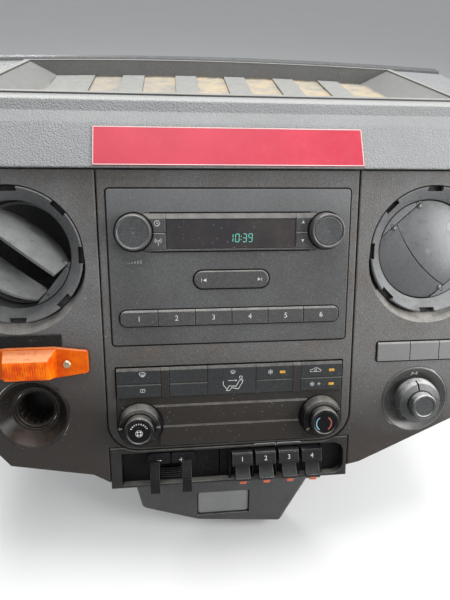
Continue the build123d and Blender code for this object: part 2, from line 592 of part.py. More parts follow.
def lamp_lens():
    """The amber lens: a hollow raised form on the base, its top and ends sloping."""
    lens = lens_form(0, LAMP_BASE_N)
    lens = fillet([e for e in lens.edges() if e.center().Z > LAMP_BASE_N + 1], 1.6)
    return on_face(Pos(LAMP_U, LAMP_V, 0) * (lens - lens_form(LENS_WALL, LAMP_BASE_N - 0.5)))


def lamp_label():
    return on_face(slab(box(LABEL_U0, LABEL_U1, LABEL_V0, LABEL_V1, 1.0), 0.1, 0.8))


def bowl(u, v, hole_r):
    """A dished bowl in the panel, with its cup behind and a hole in its floor."""
    dish = turned(
        (BOWL_R, -18), (BOWL_R, 0.2), (BOWL_R - 1.5, 0.8), (BOWL_R - 3.0, 0.0), (hole_r + 3.0, -12.5),
        (hole_r, -13.5), (hole_r, -18),
    )
    return on_face(Pos(u, v, 0) * dish)


def socket_sleeve():
    """The dark sleeve inside the open socket, with grip ribs round its bore."""
    tube = turned((20.6, -44), (20.6, -13.8), (18.4, -13.8), (17.2, -16.0), (17.2, -44))
    rib = Pos(17.0, 0, -44) * Box(1.4, 2.2, 26, align=(Align.CENTER, Align.CENTER, Align.MIN))
    for step in range(16):
        tube += Rot(0, 0, step * 22.5) * rib
    floor = rod(0, 0, 17.6, -44, -42)
    return on_face(Pos(SOCKET_U, SOCKET_V, 0) * (tube + floor))


def key_row():
    """Three blank keys in one row below the vent."""
    section = key_section(KEY_ROW_V0, KEY_ROW_V1, -8, 1.8, 1.6, 1.0)
    keys = [bar(left + 0.35, right - 0.35, *section) for left, right in zip(KEY_EDGES, KEY_EDGES[1:])]
    return on_face(Compound(children=keys))


# Pad, tray and rail


def from_radio(*points):
    """Points given as distances back and up from the radio's centre, in the side plane."""
    return [(RADIO_Y + y, RADIO_Z + z) for y, z in points]


def rail_cylinder(back, low=-200.0, high=400.0):
    """A tall cylinder whose rear edge follows the bowed rail, moved back by a distance."""
    centre = RADIO_Y + RAIL_Y - RAIL_R
    stand = (Align.CENTER, Align.CENTER, Align.MIN)
    return Pos(0, centre, low) * Cylinder(RAIL_R + back, high - low, align=stand)


def tray_outline(row, height, grow):
    """The tray's plan at one height, with its bowed rear edge."""
    front, half_front, half_rear, rear_mid, rear_corner = row
    left, right = -half_front - grow, half_front + grow
    back_left, back_right = -half_rear - grow, half_rear + grow
    front_y, corner_y = RADIO_Y + front - grow, RADIO_Y + rear_corner + grow
    sides = Polyline((back_left, corner_y), (left, front_y), (right, front_y), (back_right, corner_y))
    back = ThreePointArc((back_right, corner_y), (0, RADIO_Y + rear_mid + grow), (back_left, corner_y))
    return Pos(0, 0, RADIO_Z + height) * make_face(sides + back)


def tray_tub(grow, floor_z, top_z):
    return loft([tray_outline(TRAY_FLOOR, floor_z, grow), tray_outline(TRAY_RIM, top_z, grow)], ruled=True)


def tray_mouth(grow, low, high):
    """The straight opening above the tray's rim."""
    return extrude(tray_outline(TRAY_RIM, low, grow), amount=high - low)


def top_pad():
    """The padded top: a bent skin from the face's upper edge to the rail, open over the tray."""
    rise, inside = from_radio(*PAD_PROFILE), from_radio(*PAD_INSIDE)
    lip_y, lip_z = rise[0]
    tuck_y, tuck_z = lip_y + 22.0, lip_z - 11.2
    outer = outline(*rise, (rise[-1][0], lip_z - 30), (tuck_y, tuck_z))
    outer = fillet(outer.vertices().sort_by_distance(rise[1] + (0,))[:1], 7.0)
    below = lip_z - 60
    inner = outline(*inside, (inside[-1][0], below), (tuck_y - 2, below), (tuck_y + 2, tuck_z + 3.6))
    pad = extrude(Plane.YZ * (outer - inner), amount=HALF_W, both=True)
    pad = pad & rail_cylinder(RAIL_FRONT - RAIL_Y)
    pad -= tray_tub(SKIN + 0.5, TRAY_FLOOR_Z - SKIN, TRAY_TOP_Z)
    return pad - tray_mouth(SKIN + 0.5, TRAY_TOP_Z - 0.01, TRAY_TOP_Z + 5)


def tray_liner():
    """The open tray in the pad: a tub with sloping sides and raised slats on its floor."""
    tub = tray_tub(SKIN, TRAY_FLOOR_Z - SKIN, TRAY_TOP_Z)
    hollow = tray_tub(0, TRAY_FLOOR_Z, TRAY_TOP_Z + 0.01)
    tub -= hollow
    lip = tray_mouth(TRAY_LIP_W, TRAY_TOP_Z, TRAY_TOP_Z + TRAY_LIP_T) & rail_cylinder(RAIL_FRONT - RAIL_Y)
    tub += lip - tray_mouth(0, TRAY_TOP_Z, TRAY_TOP_Z + 5)
    for middle, width in SLATS:
        slat = Pos(middle, RADIO_Y + 200, RADIO_Z + TRAY_FLOOR_Z + 1.0) * Box(width, 200, 2.4)
        tub += slat & hollow
    return tub


def rear_rail():
    """The rolled rail along the foot of the windscreen, bowed across the truck."""
    outer = outline(*from_radio(*RAIL_OUTSIDE))
    outer = fillet(outer.vertices().sort_by(Axis.Y)[-4:], 2.5)
    inner = outline(*from_radio(*RAIL_INSIDE))
    centre = Axis((0, RADIO_Y + RAIL_Y - RAIL_R, 0), (0, 0, 1))
    section = Plane.YZ * (outer - inner)
    rail = revolve(section.rotate(centre, -RAIL_SWEEP / 2), centre, RAIL_SWEEP)
    return rail & Box(2 * HALF_W, 2000, 2000)


def height_plate():
    """A blank plate on the pad's front face."""
    (y0, z0), (y1, z1) = from_radio(*PAD_PROFILE[:2])
    length = sqrt((y1 - y0) ** 2 + (z1 - z0) ** 2)
    out = (0, -(z1 - z0) / length, (y1 - y0) / length)
    face = Plane(origin=(0, y0, z0), x_dir=(1, 0, 0), z_dir=out)
    return face.location * extrude(Pos(0, PLATE_UP, 0.1) * RectangleRounded(PLATE_W, PLATE_H, 1.0), PLATE_T)


# What carries the section


def face_point(v, n):
    """The side-plane point at a height up the face and a distance out of it."""
    t = radians(RAKE)
    return (RADIO_Y + v * sin(t) - n * cos(t), RADIO_Z + v * cos(t) + n * sin(t))


def carrier_cheek(side):
    """A moulded end plate that closes the section's side and carries the pad and the panels."""
    inside = from_radio(*PAD_INSIDE)
    rear_y, rear_z = RADIO_Y + 232, inside[3][1]
    profile = outline(
        face_point(88, -RIM), face_point(-166, -RIM), face_point(-166, -46), (RADIO_Y + 80, -88), (-4, -44),
        (-4, 40), (rear_y, rear_z - 34), (rear_y, rear_z), *inside[3:0:-1], (RADIO_Y + 62, RADIO_Z + 78),
    )
    outer_x, inner_x, hem_x = side * HALF_W, side * (HALF_W - CHEEK_T), side * (HALF_W - CHEEK_HEM)
    plate = extrude(Plane.YZ.offset(min(outer_x, inner_x)) * profile, amount=CHEEK_T)
    hem = profile - offset(profile, -SKIN)
    plate += extrude(Plane.YZ.offset(min(outer_x, hem_x)) * hem, amount=CHEEK_HEM)
    for y, z, radius in CHEEK_HOLES:
        plate -= Pos(outer_x, y, z) * Rot(0, 90, 0) * Cylinder(radius, 3 * CHEEK_T)
    return plate


def carrier_rail():
    """The ribbed channel across the back that ties the two end plates together."""
    length = 2 * (HALF_W - CHEEK_HEM)
    middle = -CHANNEL_BACK - CHANNEL_D / 2
    channel = Pos(0, middle, 0) * Box(length, CHANNEL_D, CHANNEL_H)
    channel -= Pos(0, middle - CHANNEL_T, 0) * Box(length + 2, CHANNEL_D, CHANNEL_H - 2 * CHANNEL_T)
    for x in CHANNEL_RIBS:
        channel += Pos(x, middle, 0) * Box(CHANNEL_T, CHANNEL_D - CHANNEL_T, CHANNEL_H - CHANNEL_T)
    return channel


def beam_bracket(side):
    """A folded steel bracket: a plate with two bolt holes, side gussets and tabs that grip the channel."""
    middle, outer_y = side * BEAM_BOLT_DX / 2, -CHANNEL_BACK - CHANNEL_D
    plate = Pos(middle, -BRACKET_T / 2, 0) * Box(BRACKET_W, BRACKET_T, BRACKET_H)
    plate = fillet(plate.edges().filter_by(Axis.Y), 8)
    for lift in (-1, 1):
        hole = Pos(middle, 0, lift * BEAM_BOLT_DZ / 2) * Rot(90, 0, 0) * Cylinder(BEAM_BOLT_R, 20)
        plate -= hole
        seat = lift * CHANNEL_H / 2
        tall, low = lift * (BRACKET_H / 2 - 9), seat + lift * 4
        gusset = outline((-BRACKET_T, seat), (-BRACKET_T, tall), (outer_y, low), (outer_y, seat))
        for edge in (-1, 1):
            left = middle + edge * (BRACKET_W / 2 - 1.5) - 1.5
            plate += extrude(Plane.YZ.offset(left) * gusset, amount=3.0)
        plate += Pos(middle, outer_y + 9, seat + lift * 1.5) * Box(BRACKET_W, 18, 3)
    return plate


def duct_loft(rows, wall):
    """A straight-sided duct through rounded sections, set in by a wall."""
    levels = []
    for u, v, n, width, depth in rows:
        level = Plane(origin=(u, v, n), x_dir=(1, 0, 0), z_dir=(0, -1, 0))
        levels.append(level * RectangleRounded(width - 2 * wall, depth - 2 * wall, 6.0 - wall))
    return loft(levels, ruled=True)


def floor_duct():
    """The pale duct below the switch strip: a neck, a box with a flat roof and a slanted foot."""
    neck, inside = (duct_loft(DUCT_NECK, wall) for wall in (0.0, DUCT_WALL))
    shell, hollow = (duct_loft(DUCT_BOX, wall) for wall in (0.0, DUCT_WALL))
    hollow &= slab(box(-200, 200, -400, DUCT_BOX[0][1] - DUCT_WALL), -150, 0)
    (u0, v0, n0, w0, d0), (u1, v1, n1, w1, d1) = DUCT_BOX
    drop = atan2((n0 + d0 / 2) - (n1 + d1 / 2), v0 - v1)
    at_window = (DUCT_WINDOW_V - v0) / (v1 - v0)
    front_n = (n0 + d0 / 2) + at_window * ((n1 + d1 / 2) - (n0 + d0 / 2))
    window = Pos(DUCT_WINDOW_U, DUCT_WINDOW_V, front_n) * Rot(degrees(drop), 0, 0)
    backing = window * Pos(0, 0, -2.6) * Box(DUCT_WINDOW_W + 6, DUCT_WINDOW_H + 6, 5.0)
    pocket = window * Box(DUCT_WINDOW_W, DUCT_WINDOW_H, 2 * DUCT_WINDOW_D)
    lip = duct_loft(DUCT_LIP, 0.0) - shell
    duct = (shell - hollow) + (neck - shell) + (backing & shell) + lip - inside - pocket
    below_cut = outline(*DUCT_CUT, (DUCT_CUT[-1][0], -400), (DUCT_CUT[0][0], -400))
    return on_face(duct - slab(below_cut, -200, 0))


def build():
    parts = {
        "centre_panel": centre_panel(),
        "left_panel": left_panel(),
        "right_panel": right_panel(),
        "switch_panel": switch_panel(),
        "top_pad": top_pad(),
        "tray_liner": tray_liner(),
        "rear_rail": rear_rail(),
        "height_plate": height_plate(),
        "radio_face": radio_face(),
        "radio_display": radio_display(),
        "radio_keys": radio_keys(),
        "volume_knob": radio_knob(-1),
        "tune_knob": radio_knob(1, KNOB_BUTTON_R),
        "preset_buttons": preset_buttons(),
        "seek_rocker": seek_rocker(),
        "radio_chassis": radio_chassis(),
        "climate_face": climate_face(),
        "climate_buttons": climate_buttons(),
        "climate_housing": climate_housing(),
        "fan_knob": climate_dial(-1, 0),
        "temperature_knob": climate_dial(1, 33),
        "switch_carrier": switch_carrier(),
        "aux_switches": aux_switches(),
        "aux_switch_tips": aux_switch_tips(),
        "brake_control": brake_control(),
        "brake_levers": brake_levers(),
        "lamp_base": lamp_base(),
        "lamp_lens": lamp_lens(),
        "lamp_label": lamp_label(),
        "socket_bowl": bowl(SOCKET_U, SOCKET_V, SOCKET_R),
        "socket_sleeve": socket_sleeve(),
        "drive_bowl": bowl(DRIVE_U, DRIVE_V, DRIVE_HOLE_R),
        "drive_knob": drive_dial(),
        "key_row": key_row(),
        "carrier_rail": carrier_rail(),
        "floor_duct": floor_duct(),
    }
    for name, side in (("left", -1), ("right", 1)):
        parts[f"carrier_cheek_{name}"] = carrier_cheek(side)
        parts[f"beam_bracket_{name}"] = beam_bracket(side)
    for name, u, turn, opening in VENTS:
        parts[f"{name}_vent_ring"] = vent_ring(u)
        parts[f"{name}_vent_barrel"] = vent_barrel(u, turn)
        parts[f"{name}_vent_main_blade"] = blade("main", MAIN_PIVOT_Y, u, turn, opening)
        parts[f"{name}_vent_minor_blade"] = blade("minor", MINOR_PIVOT_Y, u, turn, opening)
        parts[f"{name}_vent_duct"] = vent_duct(u)
    return parts


os.makedirs("parts", exist_ok=True)
for node, shape in build().items():
    export_step(shape, f"parts/{node}.step")
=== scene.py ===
"""Looks of a truck dashboard's centre section: finishes, printed marks, glass, ribs, screws,
light and camera."""

import json
from math import atan2, cos, pi, radians, sin

import bmesh
import bpy
from mathutils import Matrix, Vector


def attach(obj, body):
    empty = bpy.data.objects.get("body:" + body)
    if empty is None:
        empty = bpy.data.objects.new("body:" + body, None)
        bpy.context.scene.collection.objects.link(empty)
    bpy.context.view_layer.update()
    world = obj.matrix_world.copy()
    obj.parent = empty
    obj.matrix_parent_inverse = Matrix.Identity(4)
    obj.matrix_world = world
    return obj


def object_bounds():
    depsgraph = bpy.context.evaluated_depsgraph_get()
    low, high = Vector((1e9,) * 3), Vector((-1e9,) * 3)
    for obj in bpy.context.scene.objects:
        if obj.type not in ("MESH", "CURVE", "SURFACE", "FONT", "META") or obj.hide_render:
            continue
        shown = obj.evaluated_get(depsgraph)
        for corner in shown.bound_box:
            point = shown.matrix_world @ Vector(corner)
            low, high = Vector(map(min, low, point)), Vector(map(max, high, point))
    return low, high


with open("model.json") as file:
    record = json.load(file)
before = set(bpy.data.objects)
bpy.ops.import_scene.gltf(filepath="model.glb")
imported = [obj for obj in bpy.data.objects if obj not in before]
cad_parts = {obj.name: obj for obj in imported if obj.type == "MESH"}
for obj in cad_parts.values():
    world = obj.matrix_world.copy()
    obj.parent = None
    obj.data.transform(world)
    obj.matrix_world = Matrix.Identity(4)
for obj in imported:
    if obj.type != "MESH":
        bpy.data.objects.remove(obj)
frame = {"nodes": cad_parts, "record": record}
cad_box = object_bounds()

# The raked face plane, in millimetres: u to the right, v up the face from the radio's centre,
# n out of the face towards the driver
MM = 0.001
RAKE = radians(27.0)
RADIO_Y, RADIO_Z = -0.200, 0.020
FACE = Matrix((
    (1, 0, 0, 0),
    (0, sin(RAKE), -cos(RAKE), RADIO_Y),
    (0, cos(RAKE), sin(RAKE), RADIO_Z),
    (0, 0, 0, 1),
)) @ Matrix.Scale(MM, 4)
ROW = Matrix.Scale(MM, 4)

# How far out of the face plane the printed faces lie
FACE_N, STRIP_N, SEEK_N, PRESET_N = 1.0, 3.0, 3.0, 2.6
WINDOW_N, DIGIT_N, CLIMATE_KEY_N, DIAL_FACE_N = 2.85, 2.86, 2.4, 19.2
FLIP_SWITCH_N, ROCKER_N = 5.85, 1.5
# How far ink and lines stand out of their face, and how deep both are sunk into it
INK_LIFT, LINE_LIFT, INK_ROOT = 0.10, 0.04, 0.15

# Places on the face
WINDOW = (-62.3, 62.3, 19.1, 46.9)
DIAL_U, DIAL_V = 94.0, -158.7
VENT_U, VENT_V = 205.5, 14.0
FLIP_SWITCH_U = (10.6, 35.5, 60.5, 85.4)
LAMP_U, LAMP_V = -196.0, -89.5
PRESET_U, PRESET_PITCH, PRESET_V = -91.0, 36.4, -48.9

# Bands over which colour comes and goes, in metres: painted shade towards the face's foot, a paler
# tone towards the radio's top, sand below the tray's slats, painted shade in the pad's step and a
# painted highlight on its edge
FOOT_SHADE_Z = (-0.045, -0.125)
TOP_PALING_Z = (0.040, 0.090)
CHANNEL_Z, SAND_X = (0.1356, 0.1344), (-0.20, 0.0)
STEP_FOOT_Z, STEP_TOP_Z, STEP_Y = (0.1415, 0.1430), (0.1506, 0.1490), (-0.100, -0.106)
EDGE_HIGHLIGHT_Z, EDGE_HIGHLIGHT_Y = (0.1502, 0.1508), (-0.092, -0.100)
# How far into seams and corners the painted shade reaches, in metres
SEAM_SHADE_REACH = 0.0030
# Where the lamp's screw tabs end, out of the face from the row's own origin, in metres
TAB_OUT = (0.201, 0.195)

# How far the painted foot shade's upper edge wanders, and how it climbs across the face
FOOT_SHADE_WANDER, FOOT_SHADE_CLIMB = 0.06, 0.13
# Scales of the noise in every moulding: blotches, powdery film and grit
BLOTCH_SCALE, POWDER_SCALE, GRIT_SCALE = 95.0, 760.0, 520.0

# Colours of the dirt, of the painted shade and of the paler top
FILM_GREY = (0.40, 0.39, 0.37)
STAIN_BROWN = (0.030, 0.026, 0.022)
SMEAR_BROWN = (0.16, 0.105, 0.065)
FOOT_SHADE_BROWN = (0.016, 0.011, 0.008)
TOP_PALING_GREY = (0.36, 0.37, 0.38)
GRIT_TAN = (0.55, 0.52, 0.46)
SEAM_SHADE_BLACK = (0.008, 0.007, 0.006)


# Node trees for the finishes


class NodeTree:
    """Short calls for the nodes that finishes and repeats both need."""

    def fill(self, socket, value):
        """Links an output to a socket, or sets the socket's own value."""
        if isinstance(value, bpy.types.NodeSocket):
            self.tree.links.new(value, socket)
        else:
            socket.default_value = value

    def add(self, kind, inputs=None, **settings):
        """Adds one node, sets its settings and fills or links its inputs."""
        made = self.tree.nodes.new(kind)
        for key, value in settings.items():
            setattr(made, key, value)
        for key, value in (inputs or {}).items():
            self.fill(made.inputs[key], value)
        return made

    def math(self, operation, *values):
        inputs = dict(enumerate(values))
        return self.add("ShaderNodeMath", inputs, operation=operation).outputs[0]

    def times(self, first, second):
        return self.math("MULTIPLY", first, second)


class Finish(NodeTree):
    """A material with its shader, the place on the piece and the colour laid so far."""

    def __init__(self, name):
        self.material = bpy.data.materials.new(name)
        self.material.use_nodes = True
        self.tree = self.material.node_tree
        self.shader = self.tree.nodes["Principled BSDF"]
        self.spot = self.add("ShaderNodeTexCoord").outputs["Object"]
        self.normal = self.add("ShaderNodeNewGeometry").outputs["Normal"]
        self.tone = None

    def mix(self, factor, under, over):
        """One colour laid over another."""
        under, over = ((*tone, 1.0) if isinstance(tone, tuple) else tone for tone in (under, over))
        inputs = {0: factor, 6: under, 7: over}
        return self.add("ShaderNodeMix", inputs, data_type="RGBA").outputs[2]

    def cover(self, factor, over):
        """Lays one more colour over the colour so far."""
        self.tone = self.mix(factor, self.tone, over)

    def level(self, value, low, high, to_low=0.0, to_high=1.0):
        """Stretches a value between two levels and stops it at both ends."""
        return self.add("ShaderNodeMapRange", {
            "Value": value, "From Min": low, "From Max": high, "To Min": to_low, "To Max": to_high,
        }).outputs[0]

    def noise(self, scale, detail=2.0, rough=0.5, spot=None):
        return self.add("ShaderNodeTexNoise", {
            "Vector": self.spot if spot is None else spot,
            "Scale": scale, "Detail": detail, "Roughness": rough,
        }).outputs[0]

    def split(self, vector):
        return self.add("ShaderNodeSeparateXYZ", {0: vector}).outputs

    def dot(self, first, second):
        made = self.add("ShaderNodeVectorMath", {0: first, 1: second}, operation="DOT_PRODUCT")
        return made.outputs["Value"]

    def softened(self, radius):
        """The normal, rounded over edges by a radius in millimetres."""
        return self.add("ShaderNodeBevel", {"Radius": radius * MM}, samples=4).outputs[0]

    def relief(self, height, normal, strength, depth=0.0006):
        inputs = {"Strength": strength, "Distance": depth, "Height": height, "Normal": normal}
        return self.add("ShaderNodeBump", inputs).outputs[0]

    def close(self, **values):
        """Fills the shader's sockets, with the colour so far as its base colour."""
        self.fill(self.shader.inputs["Base Color"], self.tone)
        for key, value in values.items():
            self.fill(self.shader.inputs[key.replace("_", " ")], value)
        return self


def moulded(name, base, shade, rough=0.55, cloud=12.0, grain=1100.0, bump=0.2, pebble=0.0,
            dust=0.3, top_dust_and_light_colour=(0.42, 0.40, 0.36), specks=0.3, edge_wear_and_highlight=0.3,
            edge_wear_and_highlight_colour=(0.30, 0.30, 0.29), edge=0.8, low_dirt=0.0, foot_shade=0.0, top_paling=0.0,
            film=0.12, gloss=0.5, seam_shade=0.9, ripple=1.0, flat=0.52, stain=0.0, even=0.35):
    """A moulded plastic: two tones in clouds, grain, dust that also paints light and shade on top
    faces, painted shade low down and in seams, a paler top, specks and worn edges with a painted
    highlight.
    """
    made = Finish(name)
    soft = made.softened(edge)
    clouds = made.noise(cloud, 5.0, 0.6)
    blotches = made.noise(BLOTCH_SCALE, 4.0, 0.65)
    made.tone = made.mix(made.level(clouds, 0.35, 0.65), base, shade)
    powder = made.noise(POWDER_SCALE, 3.0, 0.7)
    made.cover(made.level(powder, 0.42, 0.66, 0.0, film), FILM_GREY)
    made.cover(made.level(clouds, 0.40, 0.70, 0.0, stain), STAIN_BROWN)

    # Dust on what faces up, which also paints the light and shade that top faces catch; and smears
    facing_up = made.level(made.split(made.normal)[2], flat, 0.95)
    dust_and_top_light = made.times(facing_up, made.level(blotches, 0.3, 0.7, even, 1.0))
    made.cover(made.times(dust_and_top_light, dust), top_dust_and_light_colour)
    if low_dirt:
        smears = made.times(made.level(clouds, 0.42, 0.62), made.level(blotches, 0.35, 0.7))
        made.cover(made.times(smears, low_dirt), SMEAR_BROWN)

    # Painted shade that thickens downwards, for the shade low on the face, and a paler tone that
    # thickens upwards
    across, _, height = made.split(made.spot)
    if foot_shade:
        shift = made.times(made.math("SUBTRACT", clouds, 0.5), FOOT_SHADE_WANDER)
        shift = made.math("ADD", made.times(across, FOOT_SHADE_CLIMB), shift)
        ragged = made.math("ADD", height, shift)
        made.cover(made.level(ragged, *FOOT_SHADE_Z, 0.0, foot_shade), FOOT_SHADE_BROWN)
    if top_paling:
        made.cover(made.level(height, *TOP_PALING_Z, 0.0, top_paling), TOP_PALING_GREY)

    # Specks, worn edges with a painted highlight, and painted shade in seams and corners
    grit = made.level(made.noise(GRIT_SCALE, 1.0), 0.70, 0.76)
    grit = made.times(grit, made.level(blotches, 0.48, 0.62))
    made.cover(made.times(grit, specks), GRIT_TAN)
    # Worn edges, and a painted highlight: the lighter edge colour is kept mostly to upper edges,
    # where light from above catches them
    turned = made.level(made.dot(soft, made.normal), 0.985, 0.86)
    worn_and_lit_edges = made.times(turned, made.level(blotches, 0.3, 0.65, 0.25, 1.0))
    worn_and_lit_edges = made.times(worn_and_lit_edges, made.level(made.split(soft)[2], 0.42, 0.75, 0.12, 1.0))
    made.cover(made.times(worn_and_lit_edges, edge_wear_and_highlight), edge_wear_and_highlight_colour)
    # Painted shade: darker where ambient occlusion finds surfaces close by, in seams and corners
    reach = {"Distance": SEAM_SHADE_REACH}
    crevice = made.add("ShaderNodeAmbientOcclusion", reach, samples=6).outputs[1]
    made.cover(made.level(crevice, 0.86, 0.50, 0.0, seam_shade), SEAM_SHADE_BLACK)

    height = made.noise(grain)
    if pebble:
        inputs = {"Vector": made.spot, "Scale": pebble, "Smoothness": 0.6}
        cells = made.add("ShaderNodeTexVoronoi", inputs, feature="SMOOTH_F1").outputs[0]
        wide = made.times(made.noise(pebble * 0.5, 3.0), ripple)
        height = made.math("ADD", made.times(cells, 1.4), made.math("ADD", height, wide))
    satin = made.level(blotches, 0.25, 0.75, rough - 0.08, rough + 0.10)
    return made.close(
        Normal=made.relief(height, soft, bump),
        Roughness=made.math("ADD", satin, made.times(dust_and_top_light, 0.15)),
        IOR=1.47, Specular_IOR_Level=gloss)


def printed(name, ink, glow=0.0):
    """Ink or lit marks, a little uneven, with worn spots."""
    made = Finish(name)
    worn = tuple(0.62 * part for part in ink)
    made.tone = made.mix(made.level(made.noise(700.0, 3.0), 0.35, 0.6), worn, ink)
    lit = {"Emission_Color": made.tone, "Emission_Strength": glow} if glow else {}
    return made.close(Roughness=0.5, **lit)


def window_glass():
    """The dark brownish window over the clock, smooth, with a few smears and dust specks."""
    made = Finish("clock_window")
    smears = made.level(made.noise(30.0, 5.0, 0.7), 0.4, 0.7)
    made.tone = made.mix(smears, (0.028, 0.026, 0.028), (0.046, 0.038, 0.036))
    specks = made.level(made.noise(420.0, 1.0), 0.72, 0.76)
    made.cover(made.times(specks, 0.25), (0.4, 0.38, 0.34))
    return made.close(Roughness=made.level(smears, 0.0, 1.0, 0.16, 0.32), IOR=1.45)


def amber_lens(name, edge_highlight):
    """Moulded amber: deep orange with lighter cloudy zones, a wet gloss and light through it, with
    painted light: a paler top, pale highlit edges and a glow for daylight through the lens.
    """
    made = Finish(name)
    soft = made.softened(0.9)
    zones = made.level(made.noise(75.0, 5.0, 0.65), 0.38, 0.62)
    made.tone = made.mix(zones, (0.62, 0.060, 0.001), (0.84, 0.170, 0.002))
    # Painted light: faces turned up go a paler peach, as though lit from above
    facing_up = made.split(made.normal)[2]
    made.cover(made.level(facing_up, 0.62, 0.98, 0.0, 0.75), (0.80, 0.38, 0.20))
    # Painted highlight: edges go a pale orange, by how far the rounded normal turns away
    turned = made.dot(soft, made.normal)
    made.cover(made.level(turned, 0.99, 0.88, 0.0, edge_highlight), (1.0, 0.42, 0.14))
    grime = made.level(made.noise(240.0, 3.0), 0.55, 0.68, 0.0, 0.35)
    made.cover(grime, (0.36, 0.055, 0.006))
    out = made.dot(made.spot, (0, -cos(RAKE), sin(RAKE)))
    made.cover(made.level(out, *TAB_OUT, 0.0, 0.45), (0.34, 0.050, 0.002))
    # Painted light: a weak glow in the lens's own colour stands for daylight shining through it
    return made.close(
        Normal=made.relief(made.noise(260.0), soft, 0.12), Roughness=0.28,
        Specular_IOR_Level=0.15, Emission_Color=made.tone, Emission_Strength=0.16,
        Subsurface_Weight=0.25, Subsurface_Radius=(0.006, 0.002, 0.0005), Subsurface_Scale=0.6)


def plated(name, base, dull, rough=0.3):
    """Zinc-plated or bare metal with brushed grain and dull patches."""
    made = Finish(name)
    drawn = {"Vector": made.spot, "Scale": (0.05, 1.0, 1.0)}
    strokes = made.noise(1200.0, 3.0, spot=made.add("ShaderNodeMapping", drawn).outputs[0])
    patches = made.level(made.noise(60.0, 4.0), 0.4, 0.7)
    made.tone = made.mix(patches, base, dull)
    return made.close(
        Metallic=0.9, Roughness=made.level(patches, 0.0, 1.0, rough, rough + 0.2),
        Normal=made.relief(strokes, made.softened(0.4), 0.15, 0.0002))


def tray_finish():
    """The tray's grained plastic: bare grey on the slats, tan dirt in the channels."""
    made = moulded(
        "tray_plastic", (0.102, 0.103, 0.100), (0.080, 0.079, 0.076), rough=0.7, bump=0.3,
        dust=0.72, top_dust_and_light_colour=(0.40, 0.395, 0.375), specks=0.25, edge_wear_and_highlight=0.25,
        edge_wear_and_highlight_colour=(0.5, 0.5, 0.48), seam_shade=0.5, flat=0.82, even=0.70)
    across, _, height = made.split(made.spot)
    low = made.times(made.level(height, *CHANNEL_Z), made.level(across, *SAND_X, 0.35, 1.0))
    silt = made.level(made.noise(42.0, 6.0, 0.7), 0.38, 0.56, 0.15, 1.0)
    fine = made.level(made.noise(900.0), 0.3, 0.7)
    made.cover(made.times(low, silt), made.mix(fine, (0.40, 0.325, 0.22), (0.53, 0.45, 0.325)))
    return made.close()


def pad_finish():
    """The pad's pebbled skin: painted shade in the step behind the nose and a painted highlight on
    the edge above.
    """
    # Its top dust, a little darker than the skin, also paints shade on the top faces, and its worn
    # edges a highlight along the rim
    made = moulded(
        "pad_skin", (0.270, 0.275, 0.276), (0.232, 0.237, 0.238), rough=0.60, cloud=9.0,
        grain=900.0, bump=1.0, pebble=620.0, dust=0.40, top_dust_and_light_colour=(0.24, 0.242, 0.24),
        specks=0.15, edge_wear_and_highlight=0.95, edge_wear_and_highlight_colour=(0.52, 0.52, 0.51), edge=2.4, film=0.06, seam_shade=0.15,
        ripple=0.35)
    _, back, height = made.split(made.spot)
    # Painted shade in the step behind the nose, where the riser faces away from the light
    step = made.times(made.level(height, *STEP_FOOT_Z), made.level(height, *STEP_TOP_Z))
    step = made.times(step, made.level(back, *STEP_Y))
    made.cover(made.times(step, 0.30), (0.12, 0.12, 0.12))
    # Painted highlight along the pad's top edge, where light catches it at a grazing angle
    edge = made.times(made.level(height, *EDGE_HIGHLIGHT_Z), made.level(back, *EDGE_HIGHLIGHT_Y))
    made.cover(made.times(edge, 0.75), (0.43, 0.43, 0.415))
    return made.close()


